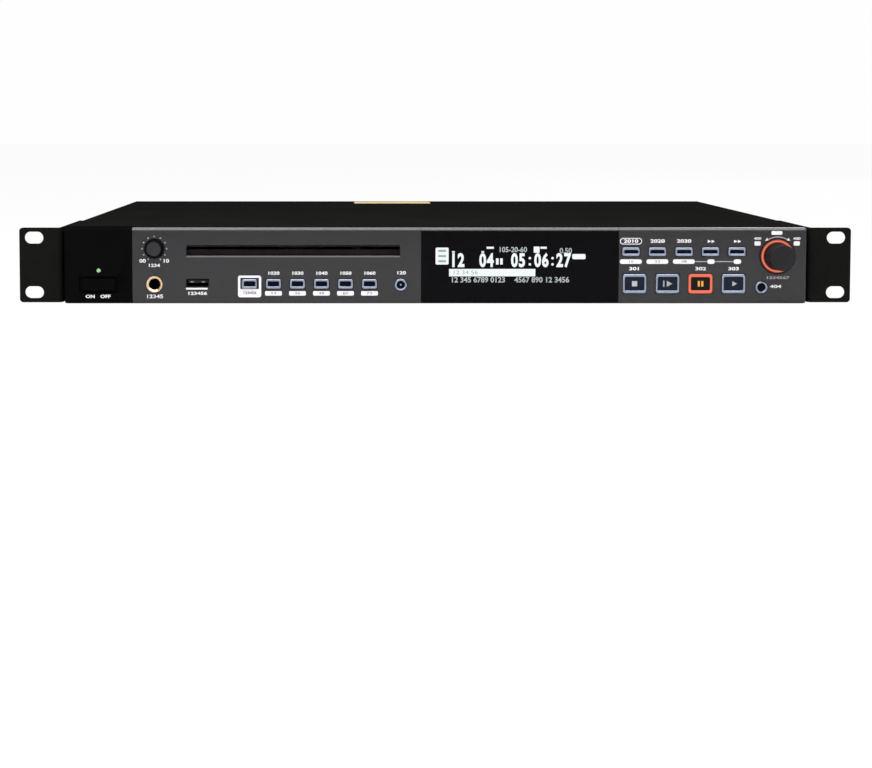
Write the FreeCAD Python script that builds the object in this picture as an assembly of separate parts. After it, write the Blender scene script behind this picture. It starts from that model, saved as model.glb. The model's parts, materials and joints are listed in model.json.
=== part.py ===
import FreeCAD, Part
import math
import os
from FreeCAD import Vector

# Rack-mount disc player, one rack unit high, with a slot for the disc.
# Millimetres. X to the right seen from the front, Y to the back, Z up.
# The origin is the middle of the four rack slots, in the plane where the ears meet the rack rails.
# Heights are written above the underside and turned into Z by up().
# A value named from_left or from_right is measured from that end of the front, and one named
# depth from the front of the tray, so each piece stays with what carries it when a size changes.

# Rack and case
rack_width = 482.0
ear_width = 25.0
rack_slot_inset = 8.45
rack_slot_pitch = 31.75
rack_slot_length = 11.0
rack_slot_height = 7.0
ear_gap = 0.3
ear_sheet = 2.0
ear_bend = 3.0
ear_corner = 2.0
ear_reach = 62.0
ear_screws_y = (14.0, 32.0, 50.0)
ear_screw_head = 4.0
ear_screw_head_thick = 2.0
ear_screw_shank = 2.0
case_height = 44.0
case_depth = 270.0
sheet = 1.2
cover_bend = 1.6
cover_gap = 0.1
cover_lift = 0.6
rear_lip_height = 4.6
rear_side_lip = 5.4
cover_tab_x = 14.8
cover_tab_width = 9.0
cover_tab_below = 4.0
cover_tab_corner = 1.5
cover_tab_from_top = 7.6
cover_corner_inset = 9.6
cover_corner_level = 7.4
corner_tab_reach = 5.2
corner_tab_low_rise = 2.6
corner_tab_high_rise = 8.2
rear_flange_width = 11.0
rear_flange_height = 24.0
panel_stub = (3.4, 4.5, 1.2)
panel_stub_inset = 9.5
panel_stub_level = 16.9

# Small clearances, and how far a cutting shape runs past the surface that it cuts
fit_gap = 0.3
panel_gap = 0.15
part_gap = 0.15
screw_slip = 0.05
bearing_slip = 0.05
past = 1.0
near = 0.01

# Front bezel, plates and window
bezel_inset = 1.5
bezel_lead = 4.0
bezel_depth = 14.0
bezel_wall = 2.0
bezel_rim = 1.6
plate_thick = 3.0
edge_round = 1.8
black_block_width = 39.5
window_from_slot = 12.25
window_from_right = 108.7
board_thick = 1.6
board_rim_gap = 4.0
board_edge_gap = 3.0
post_radius = 2.2
post_low = 5.4
post_from_top = 5.5
post_top_left = 11.5
post_from_level = 9.3
post_before_window = 4.5
post_from_window = 2.4
post_top_right = 8.0
post_low_left = 5.5
post_in_window = 3.0
post_low_right = 10.0

# Disc and its slot
disc_radius = 60.0
disc_thick = 1.2
disc_depth = 82.0
slot_side_play = 1.65
slot_height = 5.2
slot_from_top = 13.5
slot_from_left = 70.75
slot_chamfer = 1.0
felt_thick = 0.5
felt_front_gap = 0.6
felt_back_gap = 2.0
duct_wall = 1.5
duct_board_gap = 0.6

# Keys: the frames and faces are given by width, height and corner radius
key_slip = 0.1
key_play = 0.05
key_travel = 0.5
power_travel = 1.0
key_flange = 0.8
flange_lip = 0.9
stem_radius = 1.2
stem_least = 0.3
switch_height = 2.4
switch_button = 0.8
switch_width = 4.5
frame_proud = 0.8
key_proud = 0.5
small_frame = (8.8, 5.6, 1.2)
small_face = (6.3, 2.8, 0.5)
upper_frame = (10.2, 5.1, 1.2)
upper_face = (7.7, 2.0, 0.4)
large_frame = (13.7, 11.2, 1.6)
large_face = (11.1, 7.8, 0.8)
round_frame = 7.1
round_face = 4.6
power_face = (19.0, 7.0, 0.8)
power_recess = (23.0, 9.6, 1.0)
recess_depth = 1.0
small_keys_from_left = 107.1
small_key_pitch = 13.87
small_key_count = 6
small_key_level = 11.5
upper_keys_from_right = 101.7
upper_key_pitch = 15.3
upper_key_count = 5
upper_key_level = 30.1
large_keys_from_right = 99.5
large_key_pitch = 19.05
large_key_level = 11.6
eject_from_window = 11.8
eject_level = 11.0
back_from_right = 26.2
back_level = 9.5
power_from_left = 19.9
power_level = 11.0
light_from_left = 20.0
light_level = 19.2
light_radius = 1.1
light_proud = 0.3

# Knobs, headphone jack and front port
shaft_radius = 3.0
shaft_slip = 0.05
shaft_end_gap = 0.2
level_from_left = 52.3
level_level = 31.85
level_radius = 5.85
level_face_radius = 3.9
level_cap_step = 0.7
level_length = 3.6
level_skirt = 1.0
level_wall = 1.2
level_groove = 0.45
level_groove_count = 18
level_body_half = 5.0
jog_from_right = 17.1
jog_level = 27.5
jog_radius = 7.5
jog_length = 12.0
jog_sunk = 1.4
jog_rim_round = 0.9
jog_wall = 3.0
jog_groove = 0.36
jog_groove_count = 36
jog_groove_start = 1.4
jog_travel = 0.5
jog_ring_gap = 0.25
jog_ring_width = 1.95
jog_ring_proud = 0.4
encoder_size = 12.0
encoder_floor = 0.6
encoder_front_gap = 0.2
jack_level = 11.3
jack_bore = 3.25
jack_bush_wall = 1.05
jack_ring_width = 0.5
jack_ring_proud = 1.2
jack_body = (13.0, 13.0, 1.0)
jack_length = 30.0
jack_back_wall = 2.0
port_from_left = 77.1
port_level = 12.0
port_size = (13.2, 4.8, 0.4)
port_shell = 0.4
port_length = 13.5
port_sunk = 0.3
port_tongue = (11.2, 1.55)
port_tongue_sunk = 1.2

# Display behind the window
display_left_gap = 5.2
display_right_gap = 5.8
display_low = 8.0
display_from_top = 8.0
display_margin = 1.5

# Slot loader
loader_side_gap = 8.0
loader_top_gap = 1.6
loader_foot = 8.0
loader_foot_inset = 4.0
bridge_gap = 2.1
bridge_depth = 22.0
roller_depth = 14.0
roller_radius = 4.5
roller_waist = 3.5
roller_shaft = 1.5
roller_gap = 0.2
roller_overhang = 3.0
roller_shaft_end = 2.0
roller_pulley = 7.0
motor_pulley_radius = 2.5
motor_shaft_radius = 1.0
motor_shaft_sunk = 5.0
pulley_width = 3.0
pulley_gap = 1.4
bracket_gap = 2.0
bracket_half = 11.0
bracket_rise = 10.0
bracket_hole = 2.0
belt_thick = 0.9
belt_width = 2.0
belt_side_gap = 0.1
loading_motor_radius = 9.5
loading_motor_half = 7.5
loading_motor_length = 28.0
loading_motor_depth = 47.0
loading_motor_level = 15.0
seat_drop = 3.3
deck_drop = 9.7
deck_thick = 1.5
deck_half = 48.0
deck_front_reach = 20.0
deck_window_half = 18.0
deck_window_gap = 0.5
deck_back_reach = 2.0
deck_plug = (28.0, 2.0, 3.0)
damper_radius = 4.5
damper_inset = 6.0
hub_radius = 14.0
hub_cone = 7.4
hub_cone_taper = 0.9
hub_cone_height = 2.2
hub_thick = 3.8
spindle_radius = 1.0
spindle_gap = 0.6
spindle_motor_radius = 12.0
holder_thick = 3.5
holder_half = 3.0
holder_rise = 2.6
holder_gap = 0.5
sled_travel = 35.0
sled_length = 22.0
sled_half = 31.0
sled_gap = 0.6
sled_drop = 2.6
sled_nut = (4.0, 8.0, 2.8)
sled_rod_offset = 26.0
sled_rod_radius = 1.5
rod_rise = 4.0
rod_slip = 0.06
screw_offset = 36.5
lead_screw_radius = 1.5
lead_screw_sunk = 5.9
sled_motor_length = 16.0
lens_radius = 3.5
lens_height = 1.0
lens_start = 23.0
arm_rise = 6.5
arm_thick = 1.2
arm_length = 78.0
arm_half = 32.0
arm_tip_half = 9.0
arm_taper_start = 16.0
arm_tip_reach = 12.0
arm_pin = 1.5
arm_pin_end = 2.6
arm_bracket = (0.5, 1.5, 5.0, 3.0)
arm_cover_front = 7.0
arm_cover_back = 8.2
puck_radius = 13.0
puck_neck = 5.0
puck_neck_play = 0.1
puck_cap_reach = 2.5
puck_cap_thick = 1.0
puck_thick = 2.6
puck_rise = 3.1
puck_hollow = (1.2, 1.6)

# Boards, and their components by width, depth and height, or by radius and height
board_sheet = 1.6
board_back_gap = 4.0
main_board_gap = 42.45
main_board_inset = 11.0
main_board_depth = 152.8
arm_board_gap = 3.0
arm_board_depth = 46.8
supply_inset = 5.0
supply_width = 50.0
supply_length = 185.0
supply_back_gap = 31.8
supply_level = 8.0
standoff_radius = 2.6
stud_inset = 6.0
stud_behind = 10.0
cable_from_left = 35.0
cable_width = 26.0
cable_thick = 0.6
cable_rise = 2.0
cable_window_side = 2.0
cable_window_height = 6.0
deck_cable_width = 22.0
deck_cable_rise = 1.0
wire_radius = 1.2
wire_pitch = 8.0
wire_drop = 3.0
front_plug = (28.0, 6.0, 5.6)
loader_plug = (30.0, 6.0, 8.0)
plug_inset = 1.0
loader_plug_inset = 2.0
large_chip = (24.0, 24.0, 2.0)
large_chip_place = (47.0, 73.1)
small_chip = (14.0, 14.0, 1.6)
small_chip_place = (-1.0, 98.1)
small_can = (4.0, 11.0)
small_can_count = 6
small_can_pitch = 13.0
small_can_inset = 14.0
transformer = (30.0, 28.0, 24.0)
transformer_behind = 92.0
large_can = (9.0, 25.0)
large_can_aside = 8.0
large_cans_behind = (20.0, 45.0)
heat_sink = (4.0, 50.0, 22.0)
heat_sink_inset = 7.0
heat_sink_behind = 37.0
terminal = (24.0, 8.0)
terminal_inset = 5.0

# Audio sockets on the back, from the right side inwards
socket_from_side = 26.3
xlr_gap = 0.7
pair_gap = 2.45
middle_gap = 13.15
single_gap = 2.75
xlr_from_top = 19.5
xlr_ring = 11.2
xlr_ring_round = 0.5
xlr_body_margin = 1.8
xlr_cavity = 7.9
xlr_back_wall = 3.0
xlr_notch = (3.2, 1.4)
xlr_proud = 0.8
xlr_depth = 17.0
xlr_pin_radius = 1.2
xlr_pin_round = 0.9
xlr_pin_circle = 4.2
xlr_pin_angles = (20, 160, 270)
xlr_pin_sunk = 2.5
rca_radius = 4.15
rca_wall = 1.6
rca_hole = 1.6
rca_hole_depth = 6.0
rca_length = 9.0
rca_depth = 13.0
rca_rise = 6.4
rca_stack = 14.2
rca_panel_gap = 0.4

# Control sockets and mains inlet on the back, from the left side inwards
inlet_from_top = 17.7
inlet_width = 50.0
inlet_height = 24.5
inlet_flat = 13.5
inlet_end_half = 2.2
inlet_round = 2.0
inlet_proud = 2.6
inlet_cavity = (24.4, 16.8)
inlet_wall = 1.6
inlet_chamfer = 4.6
inlet_depth = 18.0
inlet_back_wall = 2.0
inlet_screw_inset = 5.0
inlet_blade = (2.0, 4.0)
inlet_blades = ((-7.0, 2.0), (7.0, 2.0), (0.0, -2.0))
inlet_blade_sunk = 3.0
wide_gap = 6.18
nine_gap = 7.485
dsub_nine_width = 16.91
dsub_nine_count = 5
dsub_wide_width = 38.96
dsub_wide_count = 13
dsub_screw_side = 4.04
dsub_height = 8.4
dsub_shell = 0.5
dsub_corner = 1.5
dsub_lean = 10.0
dsub_proud = 5.6
dsub_flange = 12.4
dsub_flange_thick = 1.0
dsub_flange_end = 3.0
dsub_lift = 0.1
dsub_depth = 9.0
dsub_body_rise = 4.0
dsub_hollow_depth = 5.0
dsub_insert_gap = 0.8
dsub_insert_sunk = 0.4
contact_inset = 2.93
contact_row = 1.42
contact_radius = 0.62
contact_depth = 4.4
jackscrew_radius = 2.7
jackscrew_proud = 5.0
jackscrew_shank = 1.4
jackscrew_tapped = 1.3
jackscrew_floor = 0.5
jackscrew_sunk = 4.0

# Screws on the back, as a shift from the piece beside them and a height
screw_head = 2.6
screw_head_thick = 1.7
screw_head_round = 0.8
screw_shank = 1.45
cross_arm = (2.8, 0.55, 0.8)
xlr_screws = ((10.4, 11.1), (-10.1, -9.7))
pair_screws = ((-7.0, 26.5), (-13.8, 17.2), (-13.8, 5.1))
single_screw = (-6.2, 26.2)
right_screws = ((-161.8, 17.2), (-175.7, 5.6))
left_screw = (199.3, 17.2)
nine_screw = (18.6, 5.4)
inlet_side_screw = (2.9, 5.7)


def up(height):
    return height - case_height / 2


# What follows from the sizes above
case_half = rack_width / 2 - ear_width
bezel_half = case_half - bezel_inset
ear_height = case_height - 2 * ear_gap
bezel_front = -(ear_sheet + bezel_lead)
wall_front = bezel_front + plate_thick
wall_back = wall_front + bezel_wall
board_front = wall_back + 2 * key_play + key_flange + stem_least + power_travel + switch_height
tray_front = bezel_front + bezel_depth
rear_face = tray_front + case_depth
panel_front = rear_face - sheet
tray_half = case_half - sheet - cover_gap
tray_top = case_height - sheet - cover_gap
block_edge = -bezel_half + black_block_width
switch_tip = board_front - switch_height

# The slot and the window between the left and the right controls
slot_width = 2 * (disc_radius + slot_side_play)
slot_level = case_height - slot_from_top
slot_low = slot_level - slot_height / 2
slot_high = slot_level + slot_height / 2
slot_left = -bezel_half + slot_from_left
window_left = slot_left + slot_width + window_from_slot
window_right = bezel_half - window_from_right
display_left = window_left + display_left_gap
display_right = window_right - display_right_gap
display_high = case_height - display_from_top

# The controls on the front
level_x = -bezel_half + level_from_left
port_x = -bezel_half + port_from_left
power_x = -bezel_half + power_from_left
light_x = -bezel_half + light_from_left
eject_x = window_left - eject_from_window
back_x = bezel_half - back_from_right
jog_x = bezel_half - jog_from_right
jog_ring_inner = jog_radius + jog_ring_gap
jog_ring_outer = jog_ring_inner + jog_ring_width
jack_bush_radius = jack_bore + jack_bush_wall

# The loader, set by the disc's place and level
disc_centre_x = slot_left + slot_width / 2
disc_centre_y = tray_front + disc_depth
loader_half = slot_width / 2 + loader_side_gap
loader_front = tray_front + sheet
loader_height = case_height - sheet - loader_top_gap
bridge_level = slot_high + bridge_gap
roller_y = tray_front + roller_depth
roller_level = slot_level - disc_thick / 2 - roller_radius - roller_gap
pulley_x = disc_centre_x + loader_half + sheet + pulley_gap
bracket_x = pulley_x + pulley_width + bracket_gap
loading_motor_y = tray_front + loading_motor_depth
seat_level = slot_level - seat_drop
deck_level = seat_level - deck_drop
rod_level = deck_level + rod_rise
arm_level = slot_level + arm_rise
arm_pivot_y = disc_centre_y + arm_length
loader_back = arm_pivot_y + arm_cover_back
puck_level = slot_level + puck_rise

# The rod holders stand clear of the spindle motor, with the sled's travel between them
holder_first = disc_centre_y + spindle_motor_radius + holder_gap
sled_start = holder_first + holder_thick + holder_gap
holder_second = sled_start + sled_length + sled_travel + holder_gap
deck_back = holder_second + holder_thick + deck_back_reach

# The sockets on the back, and the boards that they stand on
xlr_level = case_height - xlr_from_top
xlr_body = 2 * xlr_ring + xlr_body_margin
board_level = xlr_level - xlr_body / 2
rca_half = rca_radius + rca_wall
rca_level = board_level + rca_rise
xlr_first_x = case_half - socket_from_side
xlr_second_x = xlr_first_x - xlr_body - xlr_gap
rca_pair_x = xlr_second_x - xlr_body / 2 - pair_gap - rca_half
xlr_third_x = rca_pair_x - rca_half - middle_gap - xlr_body / 2
rca_single_x = xlr_third_x - xlr_body / 2 - single_gap - rca_half
xlr_places_x = (xlr_first_x, xlr_second_x, xlr_third_x)
inlet_level = case_height - inlet_from_top
inlet_x = -case_half + rear_side_lip + fit_gap + inlet_width / 2
dsub_nine_pitch = dsub_nine_width + 2 * dsub_screw_side
dsub_wide_pitch = dsub_wide_width + 2 * dsub_screw_side
dsub_wide_half = dsub_wide_pitch / 2 + dsub_flange_end
dsub_nine_half = dsub_nine_pitch / 2 + dsub_flange_end
dsub_wide_x = inlet_x + inlet_width / 2 + wide_gap + dsub_wide_half
dsub_nine_x = dsub_wide_x + dsub_wide_half + nine_gap + dsub_nine_half
dsub_level = board_level + dsub_flange / 2 + dsub_lift
main_board_left = disc_centre_x + loader_half + main_board_gap
main_board_right = case_half - main_board_inset
boards_back = panel_front - board_back_gap
main_board_front = boards_back - main_board_depth
arm_board_front = boards_back - arm_board_depth
supply_left = -case_half + supply_inset
supply_right = supply_left + supply_width
supply_back = panel_front - supply_back_gap
supply_front = supply_back - supply_length
arm_board_left = supply_right + arm_board_gap
cable_x = main_board_left + cable_from_left


# Simple shapes
def block(x0, x1, y0, y1, z0, z1):
    return Part.makeBox(x1 - x0, y1 - y0, z1 - z0, Vector(x0, y0, z0))


def rod_x(y, z, radius, x0, x1):
    return Part.makeCylinder(radius, x1 - x0, Vector(x0, y, z), Vector(1, 0, 0))


def rod_y(x, z, radius, y0, y1):
    return Part.makeCylinder(radius, y1 - y0, Vector(x, y0, z), Vector(0, 1, 0))


def rod_z(x, y, radius, z0, z1):
    return Part.makeCylinder(radius, z1 - z0, Vector(x, y, z0), Vector(0, 0, 1))


def cone_y(x, z, radius0, radius1, y0, y1):
    return Part.makeCone(radius0, radius1, y1 - y0, Vector(x, y0, z), Vector(0, 1, 0))


# A block across a wall on either side of the middle, from one X to another in any order
def side_block(xa, xb, y0, y1, z0, z1):
    return block(min(xa, xb), max(xa, xb), y0, y1, z0, z1)


# A component that stands on a board: a block by width, depth and height, centred at x and y
def component(x, y, size, base):
    width, depth, height = size
    return block(x - width / 2, x + width / 2, y - depth / 2, y + depth / 2, base, base + height)


# A face with straight sides, given by its corners in X and Z, pushed from y0 to y1
def prism(corners, y0, y1):
    points = [Vector(x, y0, z) for x, z in corners]
    outline = Part.makePolygon(points + [points[0]])
    return Part.Face(outline).extrude(Vector(0, y1 - y0, 0))


# A rectangle with round corners, centred at x and z, pushed from y0 to y1
def pad(x, z, size, grow, y0, y1):
    width, height, corner = size
    width += 2 * grow
    height += 2 * grow
    corner = min(corner + max(grow, 0), 0.49 * width, 0.49 * height)
    shape = block(x - width / 2, x + width / 2, y0, y1, z - height / 2, z + height / 2)
    return rounded(shape, corner, lambda edge: abs(span(edge).y) > 0.5 * abs(y1 - y0))


# The vector from one end of an edge to the other
def span(edge):
    return edge.Vertexes[-1].Point - edge.Vertexes[0].Point


def middle(edge):
    return edge.CenterOfMass


def rounded(shape, radius, wanted):
    edges = [edge for edge in shape.Edges if len(edge.Vertexes) == 2 and wanted(edge)]
    return shape.makeFillet(radius, edges)


def rounded_rim(shape, radius, y):
    rims = [edge for edge in shape.Edges if abs(middle(edge).y - y) < near]
    return shape.makeFillet(radius, rims)


def join(first, others):
    return first.fuse(others).removeSplitter()


def group(solids):
    return Part.makeCompound(solids)


def save(name, shape):
    shape.exportStep("parts/" + name + ".step")


# Every framed key on the front: its name, place and shape
def key_list():
    keys = []
    for index in range(small_key_count):
        x = -bezel_half + small_keys_from_left + index * small_key_pitch
        keys.append(("small_key_%d" % (index + 1), x, small_key_level, small_frame, small_face))
    for index in range(upper_key_count):
        x = bezel_half - upper_keys_from_right + index * upper_key_pitch
        keys.append(("upper_key_%d" % (index + 1), x, upper_key_level, upper_frame, upper_face))
    for index, name in enumerate(("stop_key", "cue_key", "pause_key", "play_key")):
        x = bezel_half - large_keys_from_right + index * large_key_pitch
        keys.append((name, x, large_key_level, large_frame, large_face))
    frame = (round_frame, round_frame, round_frame / 2)
    face = (round_face, round_face, round_face / 2)
    keys.append(("eject_key", eject_x, eject_level, frame, face))
    keys.append(("back_key", back_x, back_level, frame, face))
    return keys


# Round where the corner is half the size, else a rectangle with round corners
def key_outline(x, level, size, grow, y0, y1):
    width, height, corner = size
    if width == height and corner * 2 >= width:
        return rod_y(x, up(level), width / 2 + grow, y0, y1)
    return pad(x, up(level), size, grow, y0, y1)


# A key: its cap, the flange that keeps it behind the wall, and the stem that meets its switch
def push_key(x, level, face, travel):
    flange_front = wall_back + key_play
    flange_back = flange_front + key_flange
    cap = key_outline(x, level, face, -key_slip, bezel_front - key_proud, flange_front)
    flange = key_outline(x, level, face, flange_lip, flange_front, flange_back)
    stem = rod_y(x, up(level), stem_radius, flange_back, switch_tip - travel - key_play)
    return join(cap, [flange, stem])


def key_frame(x, level, frame, face):
    front = bezel_front - frame_proud
    outer = key_outline(x, level, frame, 0.0, front, wall_front)
    return outer.cut(key_outline(x, level, face, 0.0, front - past, wall_front + past))


def make_keys():
    frames = []
    for name, x, level, frame, face in key_list():
        save(name, push_key(x, level, face, key_travel))
        made = key_frame(x, level, frame, face)
        if name == "pause_key":
            save("pause_frame", made)
        else:
            frames.append(made)
    save("key_frames", group(frames))
    save("power_key", push_key(power_x, power_level, power_face, power_travel))


# The holes that the plates need, round the frames, the jog ring, the knob, the jack and the port
def plate_holes(y0, y1):
    gap = part_gap / 2
    holes = [key_outline(x, level, frame, gap, y0, y1) for name, x, level, frame, face in key_list()]
    holes.append(rod_y(jog_x, up(jog_level), jog_ring_outer + gap, y0, y1))
    return holes + shared_holes(y0, y1)


# The holes that the bezel's wall needs, for the keys' caps and the jog plunger
def wall_holes(y0, y1):
    holes = [key_outline(x, level, face, 0.0, y0, y1) for name, x, level, frame, face in key_list()]
    holes.append(rod_y(jog_x, up(jog_level), shaft_radius + fit_gap, y0, y1))
    return holes + shared_holes(y0, y1)


# The holes that plates and wall share
def shared_holes(y0, y1):
    return [
        rod_y(level_x, up(level_level), shaft_radius + fit_gap, y0, y1),
        rod_y(level_x, up(jack_level), jack_bush_radius + part_gap / 2, y0, y1),
        pad(port_x, up(port_level), port_size, part_gap / 2, y0, y1),
        slot_space(y0, y1, 0.0),
    ]


def slot_space(y0, y1, grow):
    right = slot_left + slot_width + grow
    return block(slot_left - grow, right, y0, y1, up(slot_low - grow), up(slot_high + grow))


# Black moulding behind the plates, with the black block at its left, the slot's duct and board posts
def make_bezel():
    low = up(0.0)
    high = up(case_height)
    shell = block(-bezel_half, bezel_half, wall_front, tray_front, low, high)
    face = block(-bezel_half, block_edge, bezel_front, wall_front, low, high)
    face = rounded(face, edge_round, outer_front_edge)
    inside = block(
        -bezel_half + bezel_rim, bezel_half - bezel_rim,
        wall_back, tray_front + past, low + bezel_rim, high - bezel_rim,
    )
    duct = slot_space(wall_back, tray_front, duct_wall)
    posts = [rod_y(x, up(level), post_radius, wall_back, board_front) for x, level in post_places()]
    body = join(shell.cut(inside), [face, duct] + posts)
    ahead = bezel_front - past
    behind = wall_back + past
    holes = wall_holes(ahead, wall_back + near)
    holes.append(slot_space(wall_front - past, tray_front + past, 0.0))
    holes.append(window_hole())
    holes.append(key_outline(power_x, power_level, power_face, 0.0, ahead, behind))
    holes.append(key_outline(power_x, power_level, power_recess, 0.0, ahead, bezel_front + recess_depth))
    holes.append(rod_y(light_x, up(light_level), light_radius + key_slip, ahead, behind))
    return body.cut(holes)


# The outer edges of the front, which are rounded: top, bottom and the two ends
def outer_front_edge(edge):
    place = middle(edge)
    at_front = abs(place.y - bezel_front) < near
    at_top = abs(abs(place.z) - case_height / 2) < near
    at_end = abs(abs(place.x) - bezel_half) < near
    return (at_front and (at_top or at_end)) or (at_top and at_end)


def window_hole():
    return block(
        display_left + display_margin, display_right - display_margin,
        wall_front - past, wall_back + past,
        up(display_low + display_margin), up(display_high - display_margin),
    )


# Posts that carry the front board: five along the top and four along the bottom
def post_places():
    top = case_height - post_from_top
    over_right = window_right - post_from_window
    uppers = (
        -bezel_half + post_top_left,
        level_x - post_from_level,
        window_left - post_before_window,
        over_right,
        bezel_half - post_top_right,
    )
    lowers = (
        -bezel_half + post_low_left,
        window_left + post_in_window,
        over_right,
        bezel_half - post_low_right,
    )
    return [(x, top) for x in uppers] + [(x, post_low) for x in lowers]


def make_plate(left, right):
    plate = block(left, right, bezel_front, wall_front, up(0.0), up(case_height))
    plate = rounded(plate, edge_round, outer_front_edge)
    plate = plate.cut(plate_holes(bezel_front - past, wall_front + past))
    lips = [edge for edge in plate.Edges if slot_lip(edge)]
    return plate.makeChamfer(slot_chamfer, lips) if lips else plate


# The long front edges of the disc slot
def slot_lip(edge):
    place = middle(edge)
    long_edge = abs(span(edge).x) > slot_width / 2
    at_front = abs(place.y - bezel_front) < near
    return long_edge and at_front and abs(place.z - up(slot_level)) < slot_height / 2 + near


def make_window():
    left = window_left + part_gap / 2
    right = window_right - part_gap / 2
    pane = block(left, right, bezel_front, wall_front, up(0.0), up(case_height))
    return rounded(pane, edge_round, outer_front_edge)


# Two felt strips that line the slot's duct
def make_felts():
    y0 = wall_front + felt_front_gap
    y1 = tray_front - felt_back_gap
    right = slot_left + slot_width
    low = block(slot_left, right, y0, y1, up(slot_low), up(slot_low + felt_thick))
    high = block(slot_left, right, y0, y1, up(slot_high - felt_thick), up(slot_high))
    return group([low, high])


def make_front():
    save("bezel", make_bezel())
    save("front_plate_left", make_plate(block_edge + part_gap / 2, window_left - part_gap / 2))
    save("front_plate_right", make_plate(window_right + part_gap / 2, bezel_half))
    save("display_window", make_window())
    front = bezel_front - light_proud
    save("power_light", rod_y(light_x, up(light_level), light_radius, front, board_front))
    save("slot_felts", make_felts())


# Grooves along a knob's rim: thin rods whose axes lie just outside the rim
def rim_grooves(x, z, rim, groove, count, y0, y1):
    reach = rim + groove / 3
    rods = []
    for index in range(count):
        angle = 2 * math.pi * index / count
        rods.append(rod_y(x + reach * math.cos(angle), z + reach * math.sin(angle), groove, y0, y1))
    return rods


# Knob for the headphone level, with the shaft that turns in the potentiometer
def make_level_knob():
    z = up(level_level)
    back = bezel_front - fit_gap
    front = back - level_length
    skirt_front = back - level_skirt
    skirt = rod_y(level_x, z, level_radius, skirt_front, back)
    cap = cone_y(level_x, z, level_face_radius, level_radius - level_cap_step, front, skirt_front)
    knob = join(skirt, [cap])
    y0 = skirt_front - past
    cuts = rim_grooves(level_x, z, level_radius, level_groove, level_groove_count, y0, back + past)
    bore_end = front + level_wall
    cuts.append(rod_y(level_x, z, shaft_radius, bore_end, back + past))
    shaft = rod_y(level_x, z, shaft_radius, bore_end, board_front - encoder_floor - shaft_end_gap)
    return group([knob.cut(cuts), shaft])


# Jog knob, which turns on the plunger and is pushed in with it, and the lit ring round it
def make_jog():
    z = up(jog_level)
    front = bezel_front - jog_length
    back = bezel_front + jog_sunk
    knob = rounded_rim(rod_y(jog_x, z, jog_radius, front, back), jog_rim_round, front)
    y0 = front + jog_groove_start
    cuts = rim_grooves(jog_x, z, jog_radius, jog_groove, jog_groove_count, y0, back + past)
    bore_end = front + jog_wall
    cuts.append(rod_y(jog_x, z, shaft_radius + shaft_slip, bore_end, back + past))
    save("jog_knob", knob.cut(cuts))
    end = board_front - encoder_floor - jog_travel - fit_gap
    save("jog_plunger", rod_y(jog_x, z, shaft_radius, bore_end + shaft_slip, end))
    ring_front = bezel_front - jog_ring_proud
    ring = rod_y(jog_x, z, jog_ring_outer, ring_front, wall_front)
    inner = rod_y(jog_x, z, jog_ring_inner, ring_front - past, wall_front + past)
    save("jog_light_ring", ring.cut(inner))


# Headphone jack: bush and body with the plug's bore, held by the ring nut on the front
def make_phones_jack():
    z = up(jack_level)
    ring_front = bezel_front - jack_ring_proud
    body_back = wall_back + jack_length
    body = pad(level_x, z, jack_body, 0.0, wall_back, body_back)
    bush = rod_y(level_x, z, jack_bush_radius, ring_front, wall_back)
    bore = rod_y(level_x, z, jack_bore, ring_front - past, body_back - jack_back_wall)
    nut = rod_y(level_x, z, jack_bush_radius + jack_ring_width, ring_front, bezel_front)
    nut = nut.cut(rod_y(level_x, z, jack_bush_radius, ring_front - past, bezel_front + past))
    return group([join(body, [bush]).cut(bore), nut])


def make_port():
    z = up(port_level)
    front = bezel_front + port_sunk
    back = front + port_length
    shell = pad(port_x, z, port_size, 0.0, front, back)
    inner = pad(port_x, z, port_size, -port_shell, front - past, back - port_shell)
    width, thick = port_tongue
    y0 = front + port_tongue_sunk
    tongue = block(port_x - width / 2, port_x + width / 2, y0, back - port_shell, z, z + thick)
    return group([shell.cut(inner), tongue])


# Board behind the bezel with its switches, the level potentiometer and the jog encoder
def make_front_board():
    back = board_front + board_thick
    edge = bezel_half - bezel_rim - board_rim_gap
    low = up(board_edge_gap)
    board = block(-edge, edge, board_front, back, low, up(case_height - board_edge_gap))
    y0 = board_front - past
    y1 = back + past
    solids = [board.cut([
        slot_space(y0, y1, duct_wall + duct_board_gap),
        pad(level_x, up(jack_level), jack_body, fit_gap, y0, y1),
        pad(port_x, up(port_level), port_size, fit_gap, y0, y1),
    ])]
    places = [(x, level) for name, x, level, frame, face in key_list()]
    places.append((power_x, power_level))
    half = switch_width / 2
    for x, level in places:
        z = up(level)
        base_front = switch_tip + switch_button
        base = block(x - half, x + half, base_front, board_front, z - half, z + half)
        solids.append(join(base, [rod_y(x, z, stem_radius, switch_tip, base_front)]))
    for x, level, half in ((level_x, level_level, level_body_half), (jog_x, jog_level, encoder_size / 2)):
        z = up(level)
        front = wall_back + encoder_front_gap
        body = block(x - half, x + half, front, board_front, z - half, z + half)
        shaft = rod_y(x, z, shaft_radius + shaft_slip, front - past, board_front - encoder_floor)
        solids.append(body.cut(shaft))
    return group(solids)


def make_display():
    front = wall_back + cover_gap
    low = up(display_low)
    return block(display_left, display_right, front, board_front, low, up(display_high))


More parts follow.
